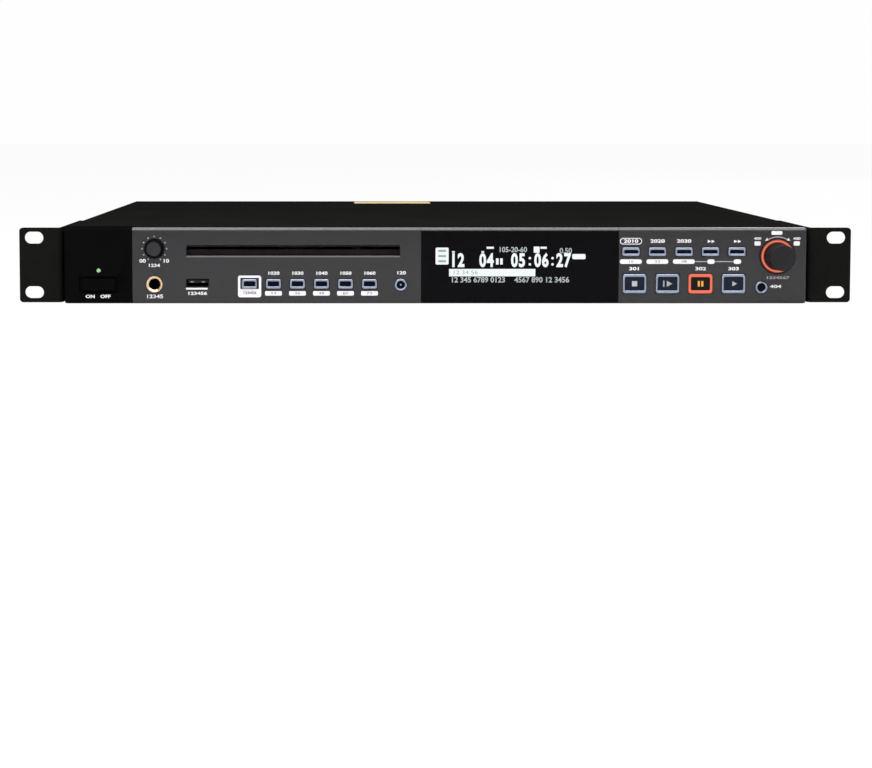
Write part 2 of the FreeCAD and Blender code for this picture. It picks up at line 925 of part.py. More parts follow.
# Bent sheet tray: floor, front wall, two sides with rear flanges, and pressed studs under the boards
def make_tray():
    low = up(0.0)
    top = up(tray_top)
    floor = block(-tray_half, tray_half, tray_front, panel_front, low, low + sheet)
    front = block(-tray_half, tray_half, tray_front, tray_front + sheet, low, top)
    pieces = [front]
    for side in (-1, 1):
        outer = side * tray_half
        pieces.append(side_block(outer, outer - side * sheet, tray_front, panel_front, low, top))
        inner = outer - side * rear_flange_width
        high = up(rear_flange_height)
        pieces.append(side_block(outer, inner, panel_front - sheet, panel_front, low, high))
        x = side * (case_half - panel_stub_inset)
        pieces.append(pad(x, up(panel_stub_level), panel_stub, 0.0, panel_front, rear_face))
    for x, y, level in stud_places():
        pieces.append(rod_z(x, y, standoff_radius, low + sheet, up(level)))
    y0 = tray_front - past
    y1 = tray_front + sheet + past
    cuts = [slot_space(y0, y1, 0.0), cable_window(y0, y1)]
    cuts.append(pad(level_x, up(jack_level), jack_body, fit_gap, y0, y1))
    cuts += ear_screw_holes(tray_half)
    for side in (-1, 1):
        x = side * (case_half - cover_corner_inset)
        shank = screw_shank + screw_slip
        cuts.append(rod_y(x, up(cover_corner_level), shank, panel_front - sheet - past, panel_front + past))
    return join(floor, pieces).cut(cuts)


# Holes for the ears' screws through a wall whose outer faces stand at plus and minus half
def ear_screw_holes(half):
    holes = []
    radius = ear_screw_shank + screw_slip
    for y in ear_screws_y:
        for side in (-1, 1):
            x = side * half
            holes.append(rod_x(y, 0.0, radius, x - ear_sheet - past, x + ear_sheet + past))
    return holes


def stud_places():
    main = board_level - board_sheet
    places = []
    for x in (main_board_left + stud_inset, main_board_right - stud_inset):
        for y in (main_board_front + stud_inset, arm_board_front + stud_behind):
            places.append((x, y, main))
    for x in (arm_board_left + stud_inset, 0.5 * (arm_board_left + main_board_left)):
        places.append((x, arm_board_front + stud_inset, main))
    for x in (supply_left + stud_inset, supply_right - stud_inset):
        for y in (supply_front + stud_inset, supply_back - stud_inset):
            places.append((x, y, supply_level))
    return places


def cable_window(y0, y1):
    half = cable_width / 2 + cable_window_side
    high = up(board_level + cable_window_height)
    return block(cable_x - half, cable_x + half, y0, y1, up(board_level), high)


# Top cover: one sheet bent over both sides, with lips and tabs folded onto the rear panel
def make_cover():
    low = up(cover_lift)
    high = up(case_height)
    back = rear_face + sheet
    outer = block(-case_half, case_half, tray_front, back, low, high)
    outer = rounded(outer, cover_bend, cover_top_edge)
    inner = case_half - sheet
    inside = block(-inner, inner, tray_front - past, rear_face, low - past, high - sheet)
    half = case_half - rear_side_lip
    lip = up(case_height - rear_lip_height)
    opening = block(-half, half, rear_face - past, back + past, low - past, lip)
    cover = outer.cut([inside, opening])
    cover = join(cover, [rear_tab(back)] + [corner_tab(side, low, back) for side in (-1, 1)])
    holes = ear_screw_holes(case_half)
    shank = screw_shank + screw_slip
    for x, level in cover_screws():
        holes.append(rod_y(x, up(level), shank, rear_face - past, back + past))
    return cover.cut(holes)


def cover_top_edge(edge):
    place = middle(edge)
    return abs(place.z - up(case_height)) < near and abs(abs(place.x) - case_half) < near


# The tab below the rear lip that takes the upper screw
def rear_tab(back):
    low = cover_screws()[0][1] - cover_tab_below
    high = case_height - rear_lip_height + 2 * cover_tab_corner
    size = (cover_tab_width, high - low, cover_tab_corner)
    return pad(cover_tab_x, up((low + high) / 2), size, 0.0, rear_face, back)


# The tab at a lower rear corner, with a slanted upper edge
def corner_tab(side, low, back):
    outer = case_half - sheet / 2
    inner = case_half - cover_corner_inset - corner_tab_reach
    corners = (
        (side * outer, low), (side * inner, low),
        (side * inner, up(cover_corner_level + corner_tab_low_rise)),
        (side * (case_half - 0.7 * rear_side_lip), up(cover_corner_level + corner_tab_high_rise)),
        (side * outer, up(cover_corner_level + corner_tab_high_rise)),
    )
    return prism(corners, rear_face, back)


# The three screws that hold the cover's rear tabs
def cover_screws():
    x = case_half - cover_corner_inset
    return (
        (cover_tab_x, case_height - cover_tab_from_top),
        (-x, cover_corner_level), (x, cover_corner_level),
    )


def inlet_screws():
    reach = inlet_width / 2 - inlet_screw_inset
    return ((inlet_x - reach, inlet_level), (inlet_x + reach, inlet_level))


# The screws whose heads lie on the rear panel itself
def panel_screws():
    places = [(x + dx, xlr_level + rise) for x in xlr_places_x for dx, rise in xlr_screws]
    places += [(rca_pair_x + dx, level) for dx, level in pair_screws]
    places += [(case_half + dx, level) for dx, level in right_screws]
    places.append((rca_single_x + single_screw[0], single_screw[1]))
    places.append((-case_half + left_screw[0], left_screw[1]))
    places.append((dsub_nine_x + nine_screw[0], nine_screw[1]))
    places.append((inlet_x + inlet_width / 2 + inlet_side_screw[0], inlet_side_screw[1]))
    return places


def make_rear_panel():
    panel = block(-tray_half, tray_half, panel_front, rear_face, up(0.0), up(tray_top))
    y0 = panel_front - past
    y1 = rear_face + past
    cuts = [rod_y(x, up(xlr_level), xlr_ring + panel_gap, y0, y1) for x in xlr_places_x]
    for x, level in rca_places():
        cuts.append(rod_y(x, up(level), rca_radius + rca_panel_gap, y0, y1))
    for x, width, pitch, row in dsub_places():
        cuts.append(dsub_prism(x, width, dsub_shell + panel_gap, y0, y1))
        for side in (-1, 1):
            cuts.append(rod_y(x + side * pitch / 2, up(dsub_level), jackscrew_shank + panel_gap, y0, y1))
    cuts.append(inlet_prism(inlet_wall + fit_gap, y0, y1))
    for side in (-1, 1):
        x = side * (case_half - panel_stub_inset)
        cuts.append(pad(x, up(panel_stub_level), panel_stub, panel_gap, y0, y1))
    shank = screw_shank + screw_slip
    for x, level in panel_screws() + list(cover_screws()) + list(inlet_screws()):
        cuts.append(rod_y(x, up(level), shank, y0, y1))
    return panel.cut(cuts)


# A pan head screw with a cross recess, its head on a seat and its shank into the case
def pan_screw(x, level, seat, tip):
    z = up(level)
    top = seat + screw_head_thick
    head = rounded_rim(rod_y(x, z, screw_head, seat, top), screw_head_round, top)
    shank = rod_y(x, z, screw_shank, tip, seat)
    long_side, short_side, depth = cross_arm
    arms = []
    for wide, tall in ((long_side, short_side), (short_side, long_side)):
        x0 = x - wide / 2
        arms.append(block(x0, x0 + wide, top - depth, top + past, z - tall / 2, z + tall / 2))
    return join(head, [shank]).cut(arms)


# The low screw that holds an ear to the side of the case
def ear_screw(side, y):
    outer = side * (case_half + ear_sheet)
    inner = side * (tray_half - sheet)
    far = outer + side * ear_screw_head_thick
    head = rod_x(y, 0.0, ear_screw_head, min(outer, far), max(outer, far))
    return join(head, [rod_x(y, 0.0, ear_screw_shank, min(inner, outer), max(inner, outer))])


def make_screws():
    solids = [pan_screw(x, level, rear_face, panel_front) for x, level in panel_screws()]
    tab_screw, left_corner, right_corner = cover_screws()
    on_cover = rear_face + sheet
    solids.append(pan_screw(tab_screw[0], tab_screw[1], on_cover, panel_front))
    for x, level in (left_corner, right_corner):
        solids.append(pan_screw(x, level, on_cover, panel_front - sheet))
    for x, level in inlet_screws():
        solids.append(pan_screw(x, level, rear_face + inlet_proud, panel_front))
    for side in (-1, 1):
        solids += [ear_screw(side, y) for y in ear_screws_y]
    return group(solids)


# Rack ear: a plate bent back along the side of the case, with two long slots
def make_ear(side):
    inner = case_half
    low = -ear_height / 2
    high = ear_height / 2
    front = block(inner, rack_width / 2, -ear_sheet, 0.0, low, high)
    flank = block(inner, inner + ear_sheet, -ear_sheet, ear_reach, low, high)
    ear = join(front, [flank])
    ear = rounded(ear, ear_bend, lambda edge: ear_edge(edge, inner, -ear_sheet))
    ear = rounded(ear, ear_bend - ear_sheet, lambda edge: ear_edge(edge, inner + ear_sheet, 0.0))
    ear = rounded(ear, ear_corner, tip_edge)
    x = rack_width / 2 - rack_slot_inset
    cuts = [long_slot(x, level * rack_slot_pitch / 2) for level in (-1, 1)]
    radius = ear_screw_shank + screw_slip
    for y in ear_screws_y:
        cuts.append(rod_x(y, 0.0, radius, inner - past, inner + ear_sheet + past))
    ear = ear.cut(cuts)
    return ear if side > 0 else ear.mirror(Vector(0, 0, 0), Vector(1, 0, 0))


def ear_edge(edge, x, y):
    place = middle(edge)
    return abs(place.x - x) < near and abs(place.y - y) < near


# The ear's outer corners, seen from the front
def tip_edge(edge):
    place = middle(edge)
    at_end = abs(place.x - rack_width / 2) < near
    return at_end and abs(abs(place.z) - ear_height / 2) < near


def long_slot(x, z):
    radius = rack_slot_height / 2
    reach = rack_slot_length / 2 - radius
    y0 = -ear_sheet - past
    bar = block(x - reach, x + reach, y0, past, z - radius, z + radius)
    return join(bar, [rod_y(x + side * reach, z, radius, y0, past) for side in (-1, 1)])


def make_case():
    save("chassis_tray", make_tray())
    save("top_cover", make_cover())
    save("rear_panel", make_rear_panel())
    save("rack_ear_left", make_ear(-1))
    save("rack_ear_right", make_ear(1))
    save("case_screws", make_screws())


# Frame of the slot loader: two side walls on feet, a front and a rear bridge, and the motor bracket
def make_loader_frame():
    low = up(sheet)
    high = up(loader_height)
    left = disc_centre_x - loader_half
    right = disc_centre_x + loader_half
    gap, thick, half, drop = arm_bracket
    pieces = []
    for side, wall in ((-1, left), (1, right)):
        pieces.append(side_block(wall, wall + side * sheet, loader_front, loader_back, low, high))
        y0 = loader_front + loader_foot_inset
        y1 = loader_back - loader_foot_inset
        pieces.append(side_block(wall, wall + side * loader_foot, y0, y1, low, low + sheet))
        near_arm = disc_centre_x + side * (arm_half + gap)
        pieces.append(side_block(
            near_arm, near_arm + side * thick,
            arm_pivot_y - half, arm_pivot_y + half, up(arm_level - drop), high - sheet,
        ))
    bridge_back = loader_front + bridge_depth
    pieces.append(block(left, right, loader_front, bridge_back, up(bridge_level), up(bridge_level + sheet)))
    pieces.append(block(left, right, arm_pivot_y - arm_cover_front, loader_back, high - sheet, high))
    y0 = loading_motor_y - bracket_half
    y1 = loading_motor_y + bracket_half
    bracket_back = bracket_x + sheet
    pieces.append(block(bracket_x, bracket_back, y0, y1, low, up(loading_motor_level + bracket_rise)))
    pieces.append(block(right + loader_foot - past, bracket_back, y0, y1, low, low + sheet))
    frame = join(pieces[0], pieces[1:])
    bearing = roller_shaft + bearing_slip
    cuts = [rod_x(roller_y, up(roller_level), bearing, left - sheet - past, right + sheet + past)]
    for side in (-1, 1):
        x = disc_centre_x + side * (arm_half + gap + thick / 2)
        cuts.append(rod_x(arm_pivot_y, up(arm_level), arm_pin + bearing_slip, x - thick, x + thick))
    z = up(loading_motor_level)
    cuts.append(rod_x(loading_motor_y, z, bracket_hole, bracket_x - past, bracket_back + past))
    return frame.cut(cuts)


# Roller, its shaft and its pulley, which turn together
def make_roller():
    z = up(roller_level)
    half = disc_radius + roller_overhang
    left = disc_centre_x - half
    right = disc_centre_x + half
    axis = Vector(1, 0, 0)
    rubber = join(
        Part.makeCone(roller_radius, roller_waist, half, Vector(left, roller_y, z), axis),
        [Part.makeCone(roller_waist, roller_radius, half, Vector(disc_centre_x, roller_y, z), axis)],
    )
    rubber = rubber.cut(rod_x(roller_y, z, roller_shaft, left - past, right + past))
    shaft_left = disc_centre_x - loader_half - sheet - roller_shaft_end
    shaft = rod_x(roller_y, z, roller_shaft, shaft_left, pulley_x + pulley_width)
    pulley = grooved_pulley(pulley_x, roller_y, z, roller_pulley)
    pulley = pulley.cut(rod_x(roller_y, z, roller_shaft, pulley_x - past, pulley_x + pulley_width + past))
    return group([rubber, shaft, pulley])


# A pulley along X with a flat-bottomed groove for the belt
def grooved_pulley(x, y, z, radius):
    body = rod_x(y, z, radius + belt_thick, x, x + pulley_width)
    side = (pulley_width - belt_width) / 2 - belt_side_gap
    groove = rod_x(y, z, radius + belt_thick + past, x + side, x + pulley_width - side)
    return body.cut(groove.cut(rod_x(y, z, radius, x, x + pulley_width)))


def make_loading_drive():
    z = up(loading_motor_level)
    y = loading_motor_y
    face = bracket_x + sheet
    end = face + loading_motor_length
    reach = loading_motor_radius + past
    flat = loading_motor_half
    motor = rod_x(y, z, loading_motor_radius, face, end)
    motor = motor.common(block(face, end, y - reach, y + reach, z - flat, z + flat))
    sunk = motor_shaft_radius + bearing_slip
    save("loading_motor", motor.cut(rod_x(y, z, sunk, face - past, face + motor_shaft_sunk + past)))
    small = grooved_pulley(pulley_x, y, z, motor_pulley_radius)
    shaft = rod_x(y, z, motor_shaft_radius, pulley_x, face + motor_shaft_sunk)
    save("motor_pulley", join(small, [shaft]))
    x0 = pulley_x + (pulley_width - belt_width) / 2
    outer = belt_loop(bearing_slip + belt_thick - belt_side_gap, x0)
    save("drive_belt", outer.cut(belt_loop(bearing_slip, x0)))


# The space inside a loop round both pulleys, grown by a distance, as a slab one belt wide
def belt_loop(grow, x0):
    y_a, z_a, r_a = roller_y, up(roller_level), roller_pulley + grow
    y_b, z_b, r_b = loading_motor_y, up(loading_motor_level), motor_pulley_radius + grow
    reach = math.hypot(y_b - y_a, z_b - z_a)
    line = math.atan2(z_b - z_a, y_b - y_a)
    lean = math.acos((r_a - r_b) / reach)
    points = []
    for sign in (1, -1):
        angle = line + sign * lean
        points.append(Vector(x0, y_a + r_a * math.cos(angle), z_a + r_a * math.sin(angle)))
        points.append(Vector(x0, y_b + r_b * math.cos(angle), z_b + r_b * math.sin(angle)))
    back = Vector(x0, y_a - r_a * math.cos(line), z_a - r_a * math.sin(line))
    ahead = Vector(x0, y_b + r_b * math.cos(line), z_b + r_b * math.sin(line))
    edges = [
        Part.LineSegment(points[0], points[1]).toShape(),
        Part.Arc(points[1], ahead, points[3]).toShape(),
        Part.LineSegment(points[3], points[2]).toShape(),
        Part.Arc(points[2], back, points[0]).toShape(),
    ]
    return Part.Face(Part.Wire(edges)).extrude(Vector(belt_width, 0, 0))


# Deck on rubber dampers, with the rod holders, the two guide rods and the cable connector
def make_deck():
    top = up(deck_level)
    low = up(deck_level - deck_thick)
    y0 = disc_centre_y - spindle_motor_radius - deck_front_reach
    x = disc_centre_x
    plate = block(x - deck_half, x + deck_half, y0, deck_back, low, top)
    window_front = holder_first + holder_thick + deck_window_gap
    window = block(
        x - deck_window_half, x + deck_window_half,
        window_front, holder_second - deck_window_gap, low - past, top + past,
    )
    rods_end = holder_second + holder_thick
    offsets = (-sled_rod_offset, sled_rod_offset, screw_offset)
    holders = []
    for y in (holder_first, holder_second):
        for offset in offsets:
            x0 = x + offset - holder_half
            y1 = y + holder_thick
            holders.append(block(x0, x0 + 2 * holder_half, y, y1, top, up(rod_level + holder_rise)))
    rods = []
    z = up(rod_level)
    for offset in (-sled_rod_offset, sled_rod_offset):
        rods.append(rod_y(x + offset, z, sled_rod_radius, holder_first, rods_end))
    screw = lead_screw_radius + rod_slip
    screw_way = rod_y(x + screw_offset, z, screw, holder_first - past, rods_end + past)
    solids = [join(plate, holders).cut([window, screw_way] + rods)] + rods
    for side in (-1, 1):
        for y in (y0 + damper_inset, deck_back - damper_inset):
            damper_x = x + side * (deck_half - damper_inset)
            solids.append(rod_z(damper_x, y, damper_radius, up(sheet), low))
    solids.append(component(x, deck_back - deck_plug[1] / 2, deck_plug, top))
    return group(solids)


def make_deck_motors():
    top = up(deck_level)
    high = up(seat_level - hub_thick - fit_gap)
    spindle = rod_z(disc_centre_x, disc_centre_y, spindle_motor_radius, top, high)
    bore = spindle_radius + bearing_slip
    spindle = spindle.cut(rod_z(disc_centre_x, disc_centre_y, bore, top + holder_gap, high + past))
    x = disc_centre_x + screw_offset
    z = up(rod_level)
    motor = rod_y(x, z, rod_rise, holder_first - sled_motor_length, holder_first)
    bore = lead_screw_radius + rod_slip
    sunk = holder_first - lead_screw_sunk - bearing_slip
    motor = motor.cut(rod_y(x, z, bore, sunk, holder_first + past))
    return group([spindle, motor])


def make_turntable():
    seat = up(seat_level)
    x = disc_centre_x
    y = disc_centre_y
    hub = rod_z(x, y, hub_radius, seat - hub_thick, seat)
    top_radius = hub_cone - hub_cone_taper
    cone = Part.makeCone(hub_cone, top_radius, hub_cone_height, Vector(x, y, seat), Vector(0, 0, 1))
    shaft = rod_z(x, y, spindle_radius, up(deck_level + spindle_gap), seat - hub_thick)
    return join(hub, [cone, shaft])


# Pickup sled with its nut round the lead screw, and the lens on top
def make_sled():
    y0 = sled_start
    y1 = sled_start + sled_length
    x = disc_centre_x
    low = up(deck_level + sled_gap)
    high = up(seat_level - sled_drop)
    body = block(x - sled_half, x + sled_half, y0, y1, low, high)
    nut_x = x + screw_offset
    nut_start, nut_length, nut_side = sled_nut
    nut_y = y0 + nut_start
    nut = block(x + sled_half - past, nut_x + nut_side, nut_y, nut_y + nut_length, low, high)
    lens = rod_z(x, disc_centre_y + lens_start, lens_radius, high, high + lens_height)
    body = join(body, [nut, lens])
    z = up(rod_level)
    cuts = [rod_y(nut_x, z, lead_screw_radius + rod_slip, y0 - past, y1 + past)]
    for side in (-1, 1):
        place = x + side * sled_rod_offset
        cuts.append(rod_y(place, z, sled_rod_radius + rod_slip, y0 - past, y1 + past))
    return body.cut(cuts)


def make_lead_screw():
    x = disc_centre_x + screw_offset
    end = holder_second + holder_thick
    return rod_y(x, up(rod_level), lead_screw_radius, holder_first - lead_screw_sunk, end)


# Clamp arm: a tapered plate with its hinge pin, and a round hole for the puck's neck
def make_arm():
    z = up(arm_level)
    low = z - arm_thick / 2
    x = disc_centre_x
    wide_end = arm_pivot_y - arm_taper_start
    narrow_end = disc_centre_y + arm_taper_start
    tip = disc_centre_y - arm_tip_reach
    corners = (
        (x - arm_half, arm_pivot_y), (x + arm_half, arm_pivot_y), (x + arm_half, wide_end),
        (x + arm_tip_half, narrow_end), (x + arm_tip_half, tip),
        (x - arm_tip_half, tip), (x - arm_tip_half, narrow_end), (x - arm_half, wide_end),
    )
    points = [Vector(px, py, low) for px, py in corners]
    outline = Part.makePolygon(points + [points[0]])
    plate = Part.Face(outline).extrude(Vector(0, 0, arm_thick))
    reach = arm_half + arm_pin_end
    arm = join(plate, [rod_x(arm_pivot_y, z, arm_pin, x - reach, x + reach)])
    hole = puck_neck + puck_neck_play
    return arm.cut(rod_z(x, disc_centre_y, hole, low - past, low + arm_thick + past))


# Puck that presses the disc onto the turntable: it hangs in the arm by its neck
def make_puck():
    x = disc_centre_x
    y = disc_centre_y
    low = up(puck_level)
    cap_low = up(arm_level) + arm_thick / 2 + puck_neck_play
    flange = rod_z(x, y, puck_radius, low, low + puck_thick)
    neck = rod_z(x, y, puck_neck, low + puck_thick, cap_low)
    cap = rod_z(x, y, puck_neck + puck_cap_reach, cap_low, cap_low + puck_cap_thick)
    reach, depth = puck_hollow
    hollow = rod_z(x, y, hub_cone + reach, low - past, low + depth)
    return join(flange, [neck, cap]).cut(hollow)


def make_loader():
    save("loader_frame", make_loader_frame())
    save("feed_roller", make_roller())
    make_loading_drive()
    save("deck_plate", make_deck())
    save("deck_motors", make_deck_motors())
    save("turntable", make_turntable())
    save("pickup_sled", make_sled())
    save("lead_screw", make_lead_screw())
    save("clamp_arm", make_arm())
    save("clamp_puck", make_puck())


# Main board, L-shaped, with a few of its larger components seated on it
def make_main_board():
    low = up(board_level - board_sheet)
    top = up(board_level)
    left = main_board_left
    front = main_board_front
    wide = block(left, main_board_right, front, boards_back, low, top)
    arm = block(arm_board_left, left + past, arm_board_front, boards_back, low, top)
    solids = [join(wide, [arm])]
    solids.append(component(cable_x, front + plug_inset + front_plug[1] / 2, front_plug, top))
    y = arm_board_front + loader_plug_inset + loader_plug[1] / 2
    solids.append(component(disc_centre_x, y, loader_plug, top))
    for size, place in ((large_chip, large_chip_place), (small_chip, small_chip_place)):
        solids.append(component(cable_x + place[0], front + place[1], size, top))
    radius, height = small_can
    for index in range(small_can_count):
        x = main_board_right - small_can_inset - index * small_can_pitch
        solids.append(rod_z(x, front + small_can_inset, radius, top, top + height))
    return group(solids)


# Power supply: board, transformer, two large capacitors, heat sink and terminal block
def make_supply():
    low = up(supply_level)
    top = low + board_sheet
    x = 0.5 * (supply_left + supply_right)
    front = supply_front
    solids = [block(supply_left, supply_right, front, supply_back, low, top)]
    solids.append(component(x, front + transformer_behind, transformer, top))
    radius, height = large_can
    for behind in large_cans_behind:
        solids.append(rod_z(x - large_can_aside, front + behind, radius, top, top + height))
    solids.append(component(supply_right - heat_sink_inset, front + heat_sink_behind, heat_sink, top))
    width, depth = terminal
    size = (width, depth, up(inlet_level) - top)
    solids.append(component(inlet_x, supply_back - terminal_inset, size, top))
    return group(solids)


# Flat cables to the front board and the deck, and the three wires of the mains inlet
def make_cables():
    half = cable_width / 2
    z = up(board_level + cable_rise)
    back = board_front + board_thick
    front_end = main_board_front + plug_inset
    solids = [block(cable_x - half, cable_x + half, back, front_end, z, z + cable_thick)]
    half = deck_cable_width / 2
    z = up(deck_level + deck_cable_rise)
    end = arm_board_front + loader_plug_inset
    x = disc_centre_x
    solids.append(block(x - half, x + half, deck_back, end, z, z + cable_thick))
    start = supply_back - terminal_inset + terminal[1] / 2
    for step in (-1, 0, 1):
        x = inlet_x + step * wire_pitch
        z = up(inlet_level - wire_drop)
        solids.append(rod_y(x, z, wire_radius, start, rear_face - inlet_depth))
    return group(solids)


# Three-pin sockets with their square bodies behind the panel
def make_xlrs():
    solids = []
    z = up(xlr_level)
    front = panel_front - xlr_depth
    floor = front + xlr_back_wall
    mouth = rear_face + xlr_proud
    half = xlr_body / 2
    notch_width, notch_depth = xlr_notch
    tip = mouth - xlr_pin_sunk
    for x in xlr_places_x:
        body = block(x - half, x + half, front, panel_front, z - half, z + half)
        ring = rounded_rim(rod_y(x, z, xlr_ring, panel_front, mouth), xlr_ring_round, mouth)
        cavity = rod_y(x, z, xlr_cavity, floor, mouth + past)
        x0 = x - notch_width / 2
        notch = block(x0, x0 + notch_width, floor, mouth + past, z - xlr_cavity - notch_depth, z)
        solids.append(join(body, [ring]).cut([cavity, notch]))
        for angle in xlr_pin_angles:
            turn = math.radians(angle)
            pin_x = x + xlr_pin_circle * math.cos(turn)
            pin = rod_y(pin_x, z + xlr_pin_circle * math.sin(turn), xlr_pin_radius, floor, tip)
            solids.append(rounded_rim(pin, xlr_pin_round, tip))
    return group(solids)


def rca_places():
    return (
        (rca_pair_x, rca_level + rca_stack), (rca_pair_x, rca_level), (rca_single_x, rca_level),
    )


# Phono jacks with their bodies on the board
def make_rcas():
    solids = []
    end = rear_face + rca_length
    for x, high in ((rca_pair_x, rca_level + rca_stack), (rca_single_x, rca_level)):
        y0 = panel_front - rca_depth
        body = block(x - rca_half, x + rca_half, y0, panel_front, up(board_level), up(high + rca_half))
        barrels = []
        holes = []
        for place_x, level in rca_places():
            if place_x == x:
                barrels.append(rod_y(x, up(level), rca_radius, panel_front, end))
                holes.append(rod_y(x, up(level), rca_hole, panel_front - rca_hole_depth, end + past))
        solids.append(join(body, barrels).cut(holes))
    return group(solids)


# Each D-sub: its middle, the width of its shell, the distance between its screws, its longer row
def dsub_places():
    return (
        (dsub_nine_x, dsub_nine_width, dsub_nine_pitch, dsub_nine_count),
        (dsub_wide_x, dsub_wide_width, dsub_wide_pitch, dsub_wide_count),
    )


# The D-shaped outline, wide side up, with its corners rounded
def dsub_prism(x, width, grow, y0, y1):
    height = dsub_height + 2 * grow
    width = width + 2 * grow
    lean = height * math.tan(math.radians(dsub_lean))
    z = up(dsub_level)
    top = z + height / 2
    low = z - height / 2
    corners = (
        (x - width / 2, top), (x + width / 2, top),
        (x + width / 2 - lean, low), (x - width / 2 + lean, low),
    )
    shape = prism(corners, y0, y1)
    corner = dsub_corner + min(grow, 0) / 2
    return rounded(shape, corner, lambda edge: abs(span(edge).y) > 0.5 * abs(y1 - y0))


# Nine-way and twenty-five-way sockets, with the jackscrews that hold them to the panel
def make_dsubs():
    solids = []
    z = up(dsub_level)
    mouth = rear_face + dsub_proud
    half_flange = dsub_flange / 2
    flange_front = panel_front - dsub_flange_thick
    body_front = panel_front - dsub_depth
    for x, width, pitch, row in dsub_places():
        half = pitch / 2 + dsub_flange_end
        flange = block(x - half, x + half, flange_front, panel_front, z - half_flange, z + half_flange)
        half = width / 2
        body_top = z + dsub_body_rise
        body = block(x - half, x + half, body_front, flange_front, z - half_flange, body_top)
        shell = dsub_prism(x, width, dsub_shell - fit_gap, panel_front, mouth)
        hollow = dsub_prism(x, width, -fit_gap, mouth - dsub_hollow_depth, mouth + past)
        insert_back = mouth - dsub_hollow_depth - dsub_lift
        insert_front = mouth - dsub_insert_sunk
        insert = dsub_prism(x, width, -fit_gap - dsub_insert_gap, insert_back, insert_front)
        screws = []
        cuts = [hollow]
        for side in (-1, 1):
            sx = x + side * pitch / 2
            shank_hole = jackscrew_shank + screw_slip
            cuts.append(rod_y(sx, z, shank_hole, flange_front - past, panel_front + past))
            screws.append(jackscrew(sx, z))
        connector = join(flange, [body, shell]).cut(cuts)
        solids.append(join(connector, [insert]).cut(contact_holes(x, width, row, mouth)))
        solids += screws
    return group(solids)


# A hexagonal post on the panel with a tapped hole, and its shank through the flange
def jackscrew(x, z):
    end = rear_face + jackscrew_proud
    corners = []
    for index in range(6):
        angle = math.radians(60 * index)
        corners.append((x + jackscrew_radius * math.cos(angle), z + jackscrew_radius * math.sin(angle)))
    post = prism(corners, rear_face, end)
    shank = rod_y(x, z, jackscrew_shank, panel_front - jackscrew_sunk, rear_face)
    tapped = rod_y(x, z, jackscrew_tapped, rear_face + jackscrew_floor, end + past)
    return join(post, [shank]).cut(tapped)


# Two rows of round contact holes in a socket's insert
def contact_holes(x, width, row, mouth):
    pitch = (width - 2 * contact_inset - 2 * fit_gap + dsub_insert_gap - dsub_lift * 2) / (row - 1)
    holes = []
    for rise, count in ((contact_row, row), (-contact_row, row - 1)):
        for index in range(count):
            place = x + (index - (count - 1) / 2) * pitch
            z = up(dsub_level) + rise
            holes.append(rod_y(place, z, contact_radius, mouth - contact_depth, mouth + past))
    return holes


# The outline of the inlet's opening, grown by a wall: a rectangle with its lower corners cut
def inlet_prism(grow, y0, y1):
    width, height = inlet_cavity
    half = width / 2 + grow
    tall = height / 2 + grow
    cut = inlet_chamfer
    z = up(inlet_level)
    x = inlet_x
    corners = (
        (x - half, z + tall), (x + half, z + tall), (x + half, z - tall + cut),
        (x + half - cut, z - tall), (x - half + cut, z - tall), (x - half, z - tall + cut),
    )
    return prism(corners, y0, y1)


# Mains inlet with three blades: two above, the earth below the middle
def make_inlet():
    z = up(inlet_level)
    x = inlet_x
    end = inlet_width / 2
    tall = inlet_height / 2
    outline = (
        (x - inlet_flat, z + tall), (x + inlet_flat, z + tall),
        (x + end, z + inlet_end_half), (x + end, z - inlet_end_half),
        (x + inlet_flat, z - tall), (x - inlet_flat, z - tall),
        (x - end, z - inlet_end_half), (x - end, z + inlet_end_half),
    )
    mouth = rear_face + inlet_proud
    flange = prism(outline, rear_face, mouth)
    flange = rounded(flange, inlet_round, lambda edge: abs(span(edge).y) > 0.5 * inlet_proud)
    back = rear_face - inlet_depth
    floor = back + inlet_back_wall
    holes = [inlet_prism(0.0, floor, mouth + past)]
    shank = screw_shank + screw_slip
    for screw_x, level in inlet_screws():
        holes.append(rod_y(screw_x, z, shank, rear_face - past, mouth + past))
    body = join(flange, [inlet_prism(inlet_wall, back, rear_face)])
    solids = [body.cut(holes)]
    thick, tall = inlet_blade
    for dx, dz in inlet_blades:
        x0 = x + dx - thick / 2
        z0 = z + dz - tall / 2
        solids.append(block(x0, x0 + thick, floor, mouth - inlet_blade_sunk, z0, z0 + tall))
    return group(solids)


def make_boards():
    save("front_board", make_front_board())
    save("display_module", make_display())
    save("main_board", make_main_board())
    save("power_supply", make_supply())
    save("cables", make_cables())


def make_back():
    save("xlr_sockets", make_xlrs())
    save("rca_jacks", make_rcas())
    save("dsub_sockets", make_dsubs())
    save("mains_inlet", make_inlet())


os.makedirs("parts", exist_ok=True)
make_front()
make_keys()
save("level_knob", make_level_knob())
make_jog()
save("phones_jack", make_phones_jack())
save("usb_port", make_port())
make_case()
make_loader()
make_boards()
make_back()
print("nodes written:", len([name for name in os.listdir("parts") if name.endswith(".step")]))
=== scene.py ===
# %% [markdown]
# # A rack-mount disc player, dressed piece by piece
#
# The solids of the player come from the frame, and this lesson gives them their finish.
# Each cell takes one piece: what it is on the real player, how it could be made, and why this way.
# Lengths in the cells are millimetres, measured like the frame: X to the right seen from the front,
# Y to the back, and heights above the underside.

import json
import math

import bmesh
import bpy
from mathutils import Matrix, Vector


